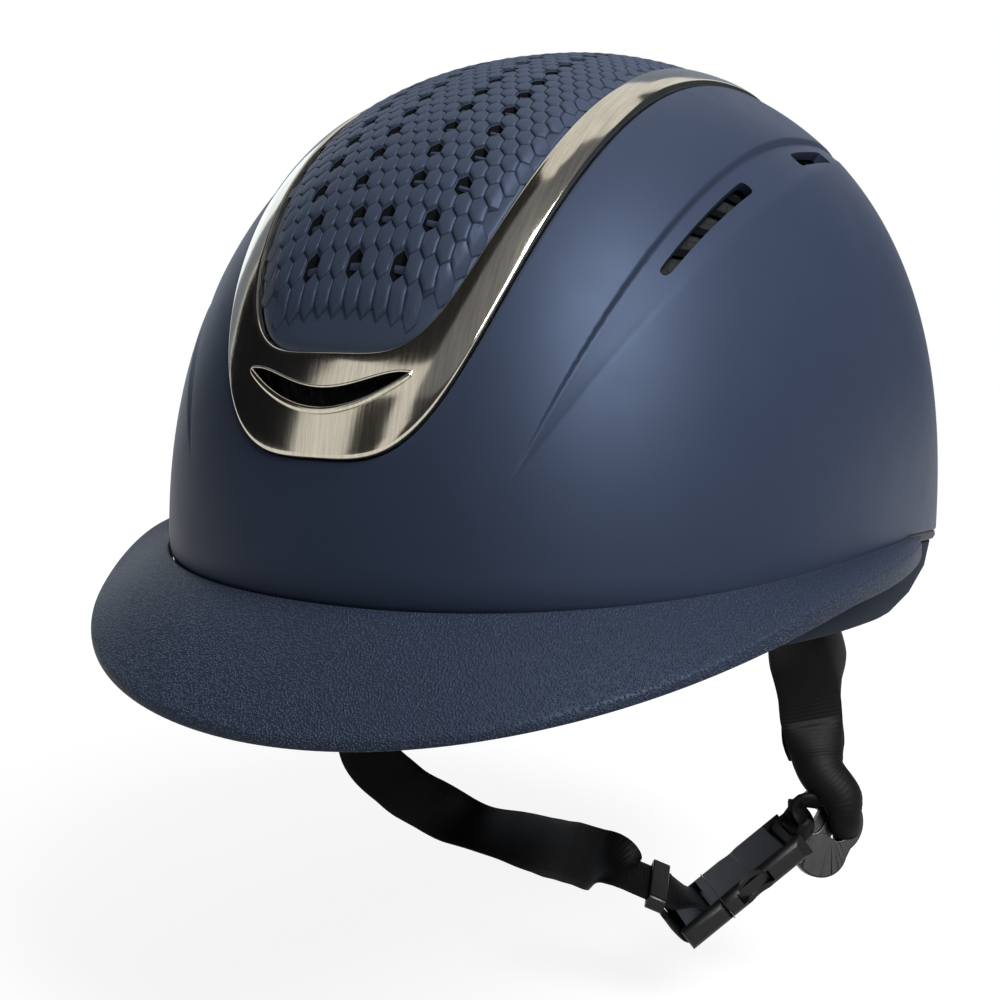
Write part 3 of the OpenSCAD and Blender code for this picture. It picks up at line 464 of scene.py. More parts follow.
def ramp(m, value, stops):
    """Value to grey between two stops, each a place and its grey."""
    n = node(m, "ShaderNodeValToRGB")
    for k, (x, grey) in zip(n.color_ramp.elements, stops):
        k.position, k.color = x, (grey, grey, grey, 1)
    join(m, value, n.inputs["Fac"])
    return n.outputs["Color"]


def maths(m, op, a, b):
    n = node(m, "ShaderNodeMath", operation=op)
    for k, v in enumerate((a, b)):
        if isinstance(v, (int, float)):
            n.inputs[k].default_value = v
        else:
            join(m, v, n.inputs[k])
    return n.outputs["Value"]


def paint(m, factor, c1, c2):
    """The base colour runs from c1 to c2 by a factor."""
    n = node(m, "ShaderNodeMix", data_type="RGBA")
    for k in n.inputs:
        if k.name in ("A", "B") and k.type == "RGBA":
            k.default_value = (*(c1 if k.name == "A" else c2), 1)
    join(m, factor, n.inputs["Factor"])
    out = [o for o in n.outputs if o.type == "RGBA"][0]
    join(m, out, bsdf(m).inputs["Base Color"])


def roughness(m, factor, low, high):
    n = node(m, "ShaderNodeMapRange")
    n.inputs["To Min"].default_value, n.inputs["To Max"].default_value = low, high
    join(m, factor, n.inputs["Value"])
    join(m, n.outputs["Result"], bsdf(m).inputs["Roughness"])


def bump(m, *layers):
    """Bumps stacked on each other; a layer is (height, depth in mm, strength)."""
    last = None
    for value, depth, strength in layers:
        n = node(m, "ShaderNodeBump", in_Distance=depth * MM, in_Strength=strength)
        join(m, value, n.inputs["Height"])
        if last:
            join(m, last, n.inputs["Normal"])
        last = n.outputs["Normal"]
    join(m, last, bsdf(m).inputs["Normal"])


def grained(name, colour, rough, grain, **more):
    """A plain material with a fine grain: its size, depth and strength."""
    m = shader(name, colour, rough, **more)
    size, depth, strength = grain
    bump(m, (noise(m, place(m), size, 3), depth, strength))
    return m


NAVY = (0.033, 0.045, 0.078)
NAVY_WARM = (0.038, 0.050, 0.080)


def matte_navy(name, rough, grain, colour=NAVY):
    """Soft-touch paint: a fine dusty grain and slow drifts of colour and gloss."""
    m = shader(name, colour, rough, specular=0.16, tint=(0.5, 0.66, 1.0))
    at = place(m)
    drift = noise(m, at, 34, 2)
    paint(m, drift, shade(colour, 0.92), shade(colour, 1.08))
    roughness(m, noise(m, at, 9, 3), rough - 0.04, rough + 0.05)
    bump(m, (noise(m, at, grain, 4), 0.02, 0.35), (noise(m, at, 0.9, 2), 0.01, 0.25))
    return m


shell_mat = matte_navy("shell_matte", 0.48, 0.25)
panel_mat = matte_navy("panel_matte", 0.50, 0.3, shade(NAVY_WARM, 1.2))
# a darker navy for the grooves and walls round each pad: painted shade
groove_shade_mat = matte_navy("groove_shade", 0.8, 0.3, shade(NAVY_WARM, 0.62))
# near black for the deep walls of the panel's air holes: painted shade, not the plastic's own
# colour
hole_shade_mat = grained("hole_painted_shade", (0.003, 0.0035, 0.005), 0.7, (0.4, 0.03, 0.4), specular=0.03)
lower_mat = matte_navy("lower_satin", 0.85, 0.3, shade(NAVY, 0.34))

# pebbled leather: round pebbles between fine valleys, with larger soft creases
peak_mat = shader("peak_leather", NAVY, 0.45, specular=0.16, tint=(0.6, 0.75, 1.0))
at = place(peak_mat)
pebble = cells(peak_mat, at, 0.62)
valley = ramp(peak_mat, pebble, [(0.12, 0.95), (0.55, 0.05)])
soft = noise(peak_mat, at, 1.3, 3)
paint(peak_mat, valley, shade(NAVY, 0.62), shade(NAVY, 1.5))
roughness(peak_mat, valley, 0.55, 0.33)
bump(peak_mat, (valley, 0.32, 1.0), (soft, 0.12, 0.5), (noise(peak_mat, at, 12, 2), 0.4, 0.25))

# warm bright plating, brushed upright: stripes that vary over the helmet's width
CHAMPAGNE = (0.56, 0.515, 0.42)
frame_mat = shader("bright_plating", CHAMPAGNE, 0.16, metal=1.0)
brush = noise(frame_mat, place(frame_mat, (1.0, 0.06, 0.05)), 0.9, 4, 0.7)
paint(frame_mat, ramp(frame_mat, brush, [(0.35, 0.0), (0.65, 1.0)]),
      shade(CHAMPAGNE, 0.82), shade(CHAMPAGNE, 1.05))
roughness(frame_mat, brush, 0.06, 0.15)
bump(frame_mat, (brush, 0.02, 0.22))

rubber_mat = grained("edge_rubber", (0.012, 0.014, 0.02), 0.7, (0.6, 0.05, 0.4))
mesh_mat = grained("mesh_black", (0.003, 0.0033, 0.004), 0.8, (0.5, 0.04, 0.3), specular=0.02)

# moulded foam: beads pressed flat against each other
foam_mat = shader("foam_beads", (0.010, 0.011, 0.013), 0.75, specular=0.12)
at = place(foam_mat)
bead = cells(foam_mat, at, 3.2, "DISTANCE_TO_EDGE")
seam = ramp(foam_mat, bead, [(0.0, 0.0), (0.09, 1.0)])
paint(foam_mat, seam, (0.004, 0.0045, 0.0055), (0.011, 0.012, 0.014))
bump(foam_mat, (seam, 0.18, 0.6), (noise(foam_mat, at, 0.7, 2), 0.05, 0.3))


def knit(name, colour):
    """Pad cloth: a fine warp knit, fuzzy at glancing angles."""
    m = shader(name, colour, 0.85, specular=0.25, sheen=0.35)
    at = place(m)
    loops = cells(m, place(m, (1.0, 1.0, 0.6)), 0.75, jitter=0.35)
    hole = ramp(m, loops, [(0.1, 1.0), (0.62, 0.0)])
    paint(m, hole, shade(colour, 0.55), shade(colour, 1.2))
    bump(m, (hole, 0.16, 0.7), (noise(m, at, 5, 3), 0.5, 0.35))
    return m


pad_mat = knit("pad_cloth", (0.028, 0.034, 0.052))
hook_mat = shader("hook_loop", (0.012, 0.012, 0.014), 0.95, specular=0.2)
bump(hook_mat, (cells(hook_mat, place(hook_mat), 0.8), 0.4, 0.9))


def webbing_cloth(name, colour):
    """Ribbed webbing: ribs across the band, each laid from fine threads."""
    m = shader(name, colour, 0.6, specular=0.08)
    at = place(m, uv=True)
    rib = wave(m, at, "X", 1.35)
    thread = wave(m, at, "Y", 0.62)
    both = maths(m, "ADD", maths(m, "MULTIPLY", rib, 0.72), maths(m, "MULTIPLY", thread, 0.28))
    paint(m, both, shade(colour, 0.72), shade(colour, 1.22))
    bump(m, (both, 0.11, 0.55), (noise(m, place(m), 0.35, 3), 0.05, 0.4))
    return m


web_mat = webbing_cloth("webbing", (0.0040, 0.0041, 0.0048))
buckle_mat = shader("buckle_plastic", (0.006, 0.006, 0.0066), 0.34, specular=0.25)
at = place(buckle_mat)
roughness(buckle_mat, noise(buckle_mat, at, 4, 4), 0.27, 0.45)
bump(buckle_mat, (noise(buckle_mat, at, 0.4, 3), 0.02, 0.35))
rivet_mat = grained("rivet_steel", (0.5, 0.5, 0.5), 0.3, (0.5, 0.02, 0.3), metal=1.0)

# %% [markdown]
# ## Camera
# The camera stands at the photograph's viewpoint: its azimuth, elevation, roll and distance
# were found by fitting the helmet's outline in the picture.

# %%
AZIMUTH, ELEVATION, ROLL = 31.57, 5.33, 1.45
DISTANCE, SHIFT_RIGHT, SHIFT_UP, LENS = 470.0, -25.10, 6.42, 50.02
a, r = math.radians(AZIMUTH), math.radians(ROLL)
back = towards(AZIMUTH, ELEVATION)
right0 = Vector((math.cos(a), math.sin(a), 0))
up0 = back.cross(right0)
right = right0 * math.cos(r) + up0 * math.sin(r)
up = up0 * math.cos(r) - right0 * math.sin(r)
camera = bpy.data.objects.new("camera", bpy.data.cameras.new("camera"))
camera.data.lens, camera.data.sensor_width = LENS, 36
turn = Matrix((right, up, back)).transposed().to_4x4()
camera.matrix_world = Matrix.Translation(
    (back * DISTANCE + right * SHIFT_RIGHT + up * SHIFT_UP) * MM) @ turn
bpy.context.scene.collection.objects.link(camera)
bpy.context.scene.camera = camera

# %% [markdown]
# ## Outer shell
# The outer face has one row of points exactly on the upper edge of the side channels, so
# the crease there is crisp. The edge's line T(arc) = side - CHANNEL_BEND (arc - CHANNEL_MID)^2
# closes by itself in front and behind, and each column of points crosses it once. A column
# runs from the bright frame's edge (0) down to the rim (1).

# %%
COLUMNS = 560
NEAR_EDGE, NEAR_RIM = 0.007, 0.006    # the parts of a column that its rounded ends take
CHANNEL_BEND, CHANNEL_MID = 0.0028, 71
CREASE_MAX, CREASE_BLEND = 0.9, 40    # the crease's row stays before this part of a column


def channel_top(arc):
    """Side angle of the side channel's upper edge."""
    return CHANNEL[2] - CHANNEL_BEND * (arc - CHANNEL_MID) ** 2


def crown_angles(d):
    """Arc and side angle of directions."""
    return (np.degrees(np.arctan2(d[..., 2], -d[..., 1])),
            np.degrees(np.arcsin(np.clip(d[..., 0], -1, 1))))


def channel_depth(d):
    """Depth of the side channels in directions d: steep above, easing out below."""
    start, end, _, width, depth = CHANNEL
    arc, side = crown_angles(d)
    span = width * np.maximum(0, sin(180 * np.clip((arc - start) / (end - start), 0, 1))) ** 0.8
    u = abs(side) - channel_top(arc)
    full = depth * (span / width) ** 0.9
    slope = np.clip(1 - u / np.maximum(span, 0.3), 0, 1)
    return full * ease((u + 0.12) / 0.5) * slope ** 0.72


turns = whole_turn(COLUMNS)
edge_aim = aim(*frame_line(turns, 0))
rim = skin(turns, rim_z(turns), 0.0)
rim[:, 1] -= lean(rim[:, 2])
rim_aim = unit(rim)
tries = np.linspace(0, 1, 301)[:, None, None]
fan = unit(mix(edge_aim[None], rim_aim[None], tries))
arc, side = crown_angles(fan)
outside = (abs(side) - channel_top(arc)) > 0
first = np.where(outside.any(0), outside.argmax(0), 300) / 300
crease = CREASE_MAX - np.log1p(np.exp((CREASE_MAX - first) * CREASE_BLEND)) / CREASE_BLEND
rows_in = (1 - (1 - np.linspace(0, 1, 34)) ** 1.5)[:, None]
rows_out = (np.linspace(0, 1, 74)[1:] ** 1.6)[:, None]
s = np.concatenate([rows_in * crease, crease + rows_out * (1 - crease)])
s = np.concatenate([s[:1], [s[0] + 0.003], [s[0] + NEAR_EDGE], s[1:-1],
                    [np.full(COLUMNS, 1 - NEAR_RIM)], s[-1:]])
s = np.sort(s, axis=0)
d = unit(mix(edge_aim[None], rim_aim[None], s[..., None]))
edge_fall = (0.55 * np.maximum(0, 1 - s / NEAR_EDGE) ** 2
             + 0.4 * np.maximum(0, 1 - (1 - s) / NEAR_RIM) ** 2)
outer = along(d, channel_depth(d) + edge_fall)
low_rim = skin(turns, rim_z(turns), SHELL_WALL)
low_rim[:, 1] -= lean(low_rim[:, 2])
seat_aim = aim(*panel_line(turns, 6 * DEG))
inner_s = np.linspace(0, 1, 12)[:, None, None]
inner = along(unit(mix(unit(low_rim)[None], seat_aim[None], inner_s)), SHELL_WALL)
seat = along(np.stack([seat_aim, mix(seat_aim, edge_aim, 0.5), edge_aim]), SEAT)
shell = hoop("shell", np.concatenate([outer, inner, seat]), shell_mat)


def prism(low, high, top, bottom):
    """Rings of a prism through the shell; low and high are lines, arc and side angles."""
    return np.stack([on_crown(*low, top), on_crown(*low, bottom),
                     on_crown(*high, bottom), on_crown(*high, top)], 1)


def vent(a0, a1, low, high0, high1, mirror):
    """A vent slot with rounded ends, along the channel."""
    t = (1 - cos(np.linspace(0, 180, 40))) / 2
    arcs = mix(a0, a1, t)
    high = mix(high0, high1, t)
    mid, half = (low + high) / 2, (high - low) / 2
    half = half * np.maximum(0.02, 1 - abs(2 * t - 1) ** 30) ** 0.5
    top = channel_top(arcs)
    rings = prism((arcs, top + mid - half), (arcs, top + mid + half), -3.0, SHELL_WALL + 2)
    return capped(rings * (-1, 1, 1) if mirror else rings)


def slot_line(side, up):
    return (SLOT_LOW + SLOT_TURN * (side / SLOT_HALF) ** 2
            + up * SLOT_HIGH * (1 - abs(side / SLOT_HALF) ** 4.5))


def intake_cutter(top, bottom, grow=0.0):
    sides = (SLOT_HALF + 0.6 * grow) * np.sin(np.linspace(-1, 1, 61) * math.pi / 2)
    near = np.clip(sides, -SLOT_HALF, SLOT_HALF)
    lo, hi = slot_line(near, 0) - grow, slot_line(near, 1) + grow + 0.03
    return capped(prism((lo, sides), (hi, sides), top, bottom))


cut(shell, [vent(*v5, mirror) for v5 in VENTS for mirror in (False, True)]
    + [intake_cutter(-2.0, SHELL_WALL + 2, 1.1)], angle=50)
settle(shell, nodes=["outer_shell"])

# %% [markdown]
# ## Lower shell, edging and peak

# %%
a = whole_turn(360)
top, bot = rim_z(a) - EDGING_H - 0.3, low_z(a)
profile = [(top, LOW_STEP + 0.5), (top - 0.5, LOW_STEP + 0.1), (mix(top, bot, 0.35), LOW_STEP),
           (mix(top, bot, 0.7), LOW_STEP), (bot + 1.4, LOW_STEP), (bot + 0.3, LOW_STEP + 0.5),
           (bot, LOW_STEP + 1.4), (bot, LOW_STEP + LOW_WALL + 6),
           (bot + LOW_WALL, LOW_STEP + LOW_WALL + 6), (bot + LOW_WALL, LOW_STEP + LOW_WALL),
           (top, LOW_STEP + LOW_WALL)]
lower = hoop("lower_rim", np.stack([skin(a, z, depth) for z, depth in profile]), lower_mat)
settle(lower, nodes=["lower_shell"])

top = rim_z(a) - 0.15
bot = top - EDGING_H
profile = [(top, 0.9), (top - 0.3, 0.4), (mix(top, bot, 0.5), 0.15), (bot + 0.3, 0.7),
           (bot, 1.4), (bot, SHELL_WALL + LOW_WALL - 1.6), (top, SHELL_WALL + 0.2)]
edging = hoop("edging_strip", np.stack([skin(a, z, depth) for z, depth in profile]), rubber_mat)
settle(edging, nodes=["edging"])


def reach(a):
    return PEAK_ROOT + 0.6 + (PEAK_REACH - PEAK_ROOT - 0.6) * (
        1 - np.minimum(1, abs(a) / PEAK_END) ** 1.5)


def drop(a):
    return PEAK_SIDE_DROP + (PEAK_DROP - PEAK_SIDE_DROP) * np.maximum(
        0, cos(abs(a) * 90 / 62)) ** 1.5


def peak_rings(a):
    """The peak's section at plan angle a: twelve points, rounded by cutting corners."""
    zs, r, w = seam_z(a), ring_r(a, 0.0), reach(a)
    zl = zs - drop(a)
    zt = zl + mix(LIP_H, LIP_SIDE_H, ease((abs(a) - 38) / 18))
    z0 = zs - 0.3
    zb = np.minimum(zs - under_peak(a) * 0.9 - 0.6, z0 - 1.5)

    def at(out, z, base):
        return points((base + out) * sin(a), -(base + out) * cos(a), z)
    foot = skin_r(a, zs, 0.0)
    section = [
        at(FIT_GAP, z0, foot), at(FIT_GAP + PEAK_ROOT, z0 - 0.4, foot),
        at(mix(PEAK_ROOT, w, 0.30), mix(z0, zt, 0.27), r),
        at(mix(PEAK_ROOT, w, 0.62), mix(z0, zt, 0.58), r),
        at(w - 0.8, mix(z0, zt, 0.97), r), at(w, zt - 0.6, r), at(w, zl + 0.6, r),
        at(w - 0.8, zl, r),
        at(mix(PEAK_ROOT, w, 0.60), np.minimum(mix(zb, zl, 0.62), mix(z0, zt, 0.58) - 3), r),
        at(mix(PEAK_ROOT, w, 0.30), np.minimum(mix(zb, zl, 0.30), mix(z0, zt, 0.27) - 3), r),
        at(FIT_GAP, zb, skin_r(a, zb, 0.0)),
        at(FIT_GAP, mix(zb, z0, 0.5), skin_r(a, mix(zb, z0, 0.5), 0.0))]
    return np.stack(section, 1)


peak_a = PEAK_END * np.sin(np.linspace(1, -1, 261) * math.pi / 2 * 0.999)
peak = solid("peak_leather", capped(chaikin(peak_rings(peak_a), 3)), peak_mat)
settle(peak, nodes=["peak"])

# %% [markdown]
# ## Crown panel
# The cells lie on a lattice in plan: odd rows are shifted by half a cell, and the corners of
# a cell are at half widths and thirds of a row. Each cell is a raised pad: rings of the same
# hexagon, scaled by f about its middle, at the depths of PAD_PROFILE. A mask sinks the
# pads into the smooth margin.

# %%
HEX = np.array([(0, -2), (1, -1), (1, 1), (0, 2), (-1, 1), (-1, -1)], float)
PAD_PROFILE = ((1.0, 0.10), (0.945, 0.02), (0.903, -0.47), (0.865, -0.60), (0.5, -0.64))
SUNK = 0.26
ROUND = 18    # points round a cell, three to a side


def margin(x, y):
    """How far inside the field's border a place is: 0 on it, 1 in the middle."""
    p = over(x, y, 0.0)
    arc, side = crown_angles(unit(p))
    fa = abs(arc - PANEL_MID) / (PANEL_ARC - PANEL_END_MARGIN + 1.6)
    limit = (PANEL_SIDE - PANEL_MARGIN + 0.5) * np.maximum(1e-6, 1 - fa * fa) ** (PANEL_CORNER / 2)
    return np.minimum((1 - fa) * 20, limit - abs(side))


def is_hole(i, j):
    """Every second row has holes, two or four of them, as in the photograph."""
    if j < 0 or j % 2 or j // 2 >= HOLE_ROWS:
        return False
    return abs(i) in ((0, 3) if j == 0 else (1, 4) if j == 2 else (2, 5))


def cell_at(i, j):
    return CELL_W * (i + abs(j) % 2 / 2), -HOLE_START + CELL_ROW * j


lattice = [(i, j) for j in range(-5, 58) for i in range(-10, 11)]
centres = np.array([cell_at(i, j) for i, j in lattice])
inside_field = margin(centres[:, 0], centres[:, 1]) > -0.15
hexagon = HEX * (CELL_W / 2, CELL_ROW / 3)
edge = np.concatenate([[mix(hexagon[k], hexagon[(k + 1) % 6], u) for u in (0, 1 / 3, 2 / 3)]
                       for k in range(6)])
pads, holes = [], []
for c, (i, j), ok in zip(centres, lattice, inside_field):
    if not ok:
        continue
    if is_hole(i, j) and margin(*c) > 1.2:
        holes.append(c)
    else:
        pads.append(c)
plan, depth = [], []
for c in pads:
    for f, dep in PAD_PROFILE:
        plan.append(c + edge * f)
        depth.append(np.full(len(edge), dep))
    plan.append(c[None])
    depth.append(np.array([-CELL_RISE]))
plan, depth = np.concatenate(plan), np.concatenate(depth)
mask = ease((margin(plan[:, 0], plan[:, 1]) + 0.1) / 1.3)
v = over(plan[:, 0], plan[:, 1], SUNK + (depth - SUNK) * mask)
top = len(PAD_PROFILE) * ROUND
one = grid_faces(len(PAD_PROFILE), ROUND)
one += [[top - ROUND + k, top - ROUND + (k + 1) % ROUND, top] for k in range(ROUND)]
faces = [[n + q * (top + 1) for n in f] for q in range(len(pads)) for f in one]
_, keep, joined = np.unique(np.round(v, 3), axis=0, return_index=True, return_inverse=True)
joined = joined.ravel()
v = v[keep]
faces = [[int(joined[n]) for n in f] for f in faces]
comb = mesh_object("honeycomb", v, faces, panel_mat, angle=50)
# the two outer rings of each pad, groove and wall, take the darker navy: painted shade between the
# pads
two_tone(comb, groove_shade_mat, [k % len(one) < 2 * ROUND for k in range(len(faces))])
settle(comb)

# the panel under the cells, pierced by the air holes; its depths of face and back
PANEL_FACE, PANEL_BACK = 0.34, SEAT - 0.4
t = whole_turn(300)


def panel_ring(f, depth):
    arc, side = panel_line(t, (FIT_GAP + 0.1) * DEG)
    return on_crown(PANEL_MID + (arc - PANEL_MID) * f, side * f, depth)


steps = [(f, PANEL_FACE) for f in np.linspace(0.08, 0.95, 16)]
steps += [(0.975, 0.36), (0.988, 0.46), (0.996, 0.68), (1.0, 1.0), (1.0, PANEL_BACK)]
steps += [(f, PANEL_BACK) for f in (0.92, 0.6, 0.3)]
base = solid("panel_base", bowl(on_crown(PANEL_MID, 0.0, PANEL_FACE),
                                np.stack([panel_ring(*q) for q in steps]),
                                on_crown(PANEL_MID, 0.0, PANEL_BACK)), panel_mat)


def tube_of(c, levels):
    """A hexagonal tube: rings of scale and depth over a cell."""
    return np.stack([over(*(c + edge * f).T, dep) for f, dep in levels])


cut(base, [merged(outward(*capped(tube_of(c, ((0.93, -0.2), (0.93, SEAT + 1)))))
                  for c in holes)], angle=45)
settle(base, nodes=["crown_panel"])

# rims and inner walls of the holes, with the bar that crosses each; below the rim the walls are
# near black: painted shade
HOLE_LEVELS = ((1.0, 0.02), (0.96, -0.12), (0.90, -0.05), (0.86, 0.3), (0.84, 1.5),
               (0.70, 1.6), (0.68, 3.2))
BAR_W, BAR_H = CELL_W * 0.42, 0.26    # half width and half height of a bar


def hole_bar(c):
    """A bar across the hole at c."""
    corners = [(-BAR_W, -BAR_H), (BAR_W, -BAR_H), (BAR_W, BAR_H), (-BAR_W, BAR_H)]
    return np.stack([np.stack([over(c[0] + x, c[1] + 0.9 + y, dep) for x, y in corners])
                     for dep in (0.85, 1.4)])


v, faces = merged((tube_of(c, HOLE_LEVELS).reshape(-1, 3), grid_faces(len(HOLE_LEVELS), ROUND))
                  for c in holes)
walls = mesh_object("hole_walls", v, [f[::-1] for f in faces], panel_mat)
per_hole = (len(HOLE_LEVELS) - 1) * ROUND
# the walls from the third ring down take the near black: painted shade inside the holes
two_tone(walls, hole_shade_mat, [k % per_hole >= 2 * ROUND for k in range(len(faces))])
settle(walls)
bars = mesh_object("hole_bars", *merged(outward(*capped(hole_bar(c))) for c in holes), panel_mat)
settle(bevel(bars, 0.15, 2))

# %% [markdown]
# ## Bright frame
# Its section is nearly flat between two bright bevels. The crescent intake is cut through
# it, and a rolled lip runs round the intake's lower edge.

# %%
t = whole_turn(640)
o_aim, i_aim = aim(*frame_line(t, FIT_GAP * DEG)), aim(*panel_line(t, -0.1 * DEG))
width = np.linalg.norm(along(o_aim, 0.0) - along(i_aim, 0.0), axis=-1)
BEVEL, FRAME_BACK = 1.3, SEAT - 0.25    # the bevel's width, the depth of the frame's back
EDGE_STEPS = ((0.0, FRAME_BACK), (0.0, 0.1), (0.06, -0.28), (0.30, -0.72), (0.62, -0.92),
              (BEVEL, -FRAME_RISE))    # across and deep


def frame_row(u, depth):
    """A row of points along the frame; u runs from 0 at the outer edge to 1 at the inner."""
    return along(unit(mix(o_aim, i_aim, u[:, None])), depth)


rings = [frame_row(x / width, dep) for x, dep in EDGE_STEPS]
rings += [frame_row(mix(BEVEL / width, 1 - BEVEL / width, u),
                    -FRAME_RISE - 0.25 * np.sin(math.pi * u)) for u in np.linspace(0, 1, 13)[1:-1]]
rings += [frame_row(1 - x / width, dep) for x, dep in EDGE_STEPS[::-1]]
rings += [frame_row(np.full(len(t), 0.5), FRAME_BACK)]
bright = hoop("bright_frame", np.stack(rings), frame_mat)
cut(bright, [intake_cutter(-4.0, SEAT + 1)], angle=40)
settle(bright, nodes=["panel_frame"])

u = np.linspace(-1, 1, 121)
side = SLOT_HALF * np.sin(u * math.pi / 2)
fat = (1 - abs(u) ** 6) ** 0.5 + 0.05


def slot_bead(name, up, arc, arc_r, depth, depth_r):
    """A rolled edge along the slot's lower (up 0) or upper line: middle and radii."""
    rings = np.stack([on_crown(slot_line(side, up) + arc + arc_r * cos(k), side,
                               -FRAME_RISE - depth + depth_r * sin(k))
                      for k in np.linspace(0, 360, 16, endpoint=False)], 1)
    settle(solid(name, capped(rings), frame_mat))


slot_bead("intake_lip", 0, -0.16, 0.40 * fat, 0.30, 0.72 * fat)
slot_bead("intake_upper_edge", 1, 0.12, 0.13, 0.22, 0.24)

# %% [markdown]
# ## Foam lining
# Moulded foam fills the space under the shell. Its inner face is upright below the ring.

# %%
FOAM_TOP = SHELL_WALL + 1.95


def foam_low(a):
    return low_z(a) + LOW_WALL + 0.3


def inside(a, z, d):
    """A point of the foam's inner face, or d into the room."""
    n, depths = n_at(a), deeper(FOAM, d)
    shrink = np.where(z > 0, np.maximum(0, 1 - abs(z / height(z, depths)) ** n) ** (1 / n), 1)
    r = ring_r(a, depths) * shrink
    return points(r * sin(a), lean(z) - r * cos(a), z)


a = whole_turn(200)
top_aim = unit(np.array([0.0, 0.02, 1.0]))
low_aim = unit(skin(a, foam_low(a), FOAM_TOP))
outer = [along(unit(mix(low_aim, top_aim, s)), FOAM_TOP) for s in np.linspace(0.93, 0.02, 18)]
low = foam_low(a)
rim = [mix(skin(a, low, FOAM_TOP), inside(a, low, 0.0), u) + (0, 0, h)
       for u, h in ((0.02, 0.6), (0.06, 0.0), (0.5, 0.0), (0.90, 0.0), (0.96, 0.7), (0.99, 1.8))]
zs = [*np.linspace(-10, 0.8 * FOAM_H, 26), *(FOAM_H * np.array([0.86, 0.92, 0.96, 0.985]))]
inner = [inside(a, np.full_like(a, z), 0.0) for z in zs]
foam = solid("foam_shell", bowl(along(top_aim, FOAM_TOP), np.stack(outer + rim + inner),
                                np.array([0, lean(FOAM_H), FOAM_H])), foam_mat)
AIRWAY = np.array([(-4, -2.4), (-4, 2.4), (4, 2.4), (4, -2.4)])    # corners, arc and side
airways = []
for arc in (36, 58, 80, 102):
    for side in (-9, 9):
        d = aim(*(AIRWAY + (arc, side)).T)
        airways.append(capped(np.stack([along(d, 0.0), along(d, deeper(FOAM, 8))])))
cut(foam, airways, angle=50)
settle(foam, nodes=["foam_liner"])

# %% [markdown]
# ## Pads
# Each pad starts as a slightly slim copy of its form, is remeshed, and is blown up by a cloth
# simulation with its back held against the foam. The sewn lines are drawn in afterwards:
# along a line the face sinks by SEWN, falling off over the width WIDE.

# %%
SEWN, WIDE, VOXEL, SWELL = 2.0, 3.2, 3.6, 1.6
TURN_PER_ARC = 57.3    # degrees of a turn whose arc is as long as its radius


def swell(o, pressure=3.0, frames=16):
    """Cloth under pressure; no point moves further than SWELL."""
    m = o.modifiers.new("voxels", "REMESH")
    m.mode, m.voxel_size = "VOXEL", VOXEL * MM
    shape_now(o)
    rest = np.empty(len(o.data.vertices) * 3)
    o.data.vertices.foreach_get("co", rest)
    rest = rest.reshape(-1, 3)
    m = o.modifiers.new("cloth", "CLOTH")
    m.settings.use_pressure, m.settings.uniform_pressure_force = True, pressure
    m.settings.effector_weights.gravity = 0
    m.settings.quality = 5
    m.point_cache.frame_start, m.point_cache.frame_end = 1, frames
    for f in range(1, frames + 1):
        bpy.context.scene.frame_set(f)
    shape_now(o)
    blown = np.empty(len(rest) * 3)
    o.data.vertices.foreach_get("co", blown)
    move = blown.reshape(-1, 3) - rest
    far = np.linalg.norm(move, axis=1, keepdims=True)
    bpy.context.scene.frame_set(1)
    return (rest + move * np.minimum(1, SWELL * MM / np.maximum(far, 1e-9))) / MM


def finish_pad(o, v, nodes):
    """The worked points go back, and one round of subdivision smooths them."""
    o.data.vertices.foreach_set("co", (v * MM).ravel())
    m = o.modifiers.new("smooth", "SUBSURF")
    m.levels = m.render_levels = 1
    shape_now(o)
    o.data.shade_smooth()
    o.data.materials.clear()
    o.data.materials.append(pad_mat)
    settle(o, nodes=nodes)
    return o


def band_depth(v):
    """Of points near the foam's inner face: plan angle, height and distance into the room."""
    a = np.degrees(np.arctan2(v[:, 0], -(v[:, 1] - lean(v[:, 2]))))
    wall = inside(a, v[:, 2], 0.0)
    return a, v[:, 2], np.hypot(*wall[:, :2].T) - np.hypot(v[:, 0], v[:, 1])


def pad_foot(a):
    return low_z(a) + LOW_WALL + 1


def pad_band(name, a0, a1, nodes, lines):
    """A curved pad from plan angle a0 to a1, sewn at some angles and along its middle."""
    k = np.linspace(0.012, 0.988, 70)
    a = mix(a0, a1, k)
    edge = sin(180 * k) ** 0.35
    m, h = pad_foot(a) + PAD_H / 2, PAD_H / 2 * (0.80 + 0.17 * edge)
    t = PAD_T * (0.25 + 0.55 * edge)
    section = ((-1, 0.12), (-0.5, 0.02), (0, 0.02), (0.5, 0.02), (1, 0.12), (0.95, 0.55),
               (0.7, 0.92), (0.3, 1.0), (-0.3, 1.0), (-0.7, 0.92), (-0.95, 0.55))
    rings = np.stack([inside(a, m + h * s, PAD_GAP + 0.25 + d * t) for s, d in section], 1)
    o = solid(name, capped(rings))
    v = swell(o)
    a, z, d = band_depth(v)
    gap = np.min([abs(a - q) for q in lines], axis=0) / TURN_PER_ARC * ring_r(a, FOAM)
    gap = np.minimum(gap, abs(z - (pad_foot(a) + PAD_H / 2)))
    dip = SEWN * np.exp(-(gap / WIDE) ** 2) * ease((d - 3) / 3)
    goal = np.clip(d - dip, PAD_GAP + 0.05, PAD_GAP + PAD_T)
    centre = points(0 * z, lean(z), z)
    return finish_pad(o, v - unit(v - centre) * (goal - d)[:, None], nodes)


pad_band("brow_pad_cloth", -64, 64, ["brow_pad"], (-48, -32, -16, 0, 16, 32, 48))
pad_band("nape_pad_cloth", 134, 226, ["nape_pad"], (150, 165, 180, 195, 210))


CROWN_GAP = PAD_GAP + 0.3
SEWN_RINGS = (31, 10)    # radii of the crown pad's sewn lines


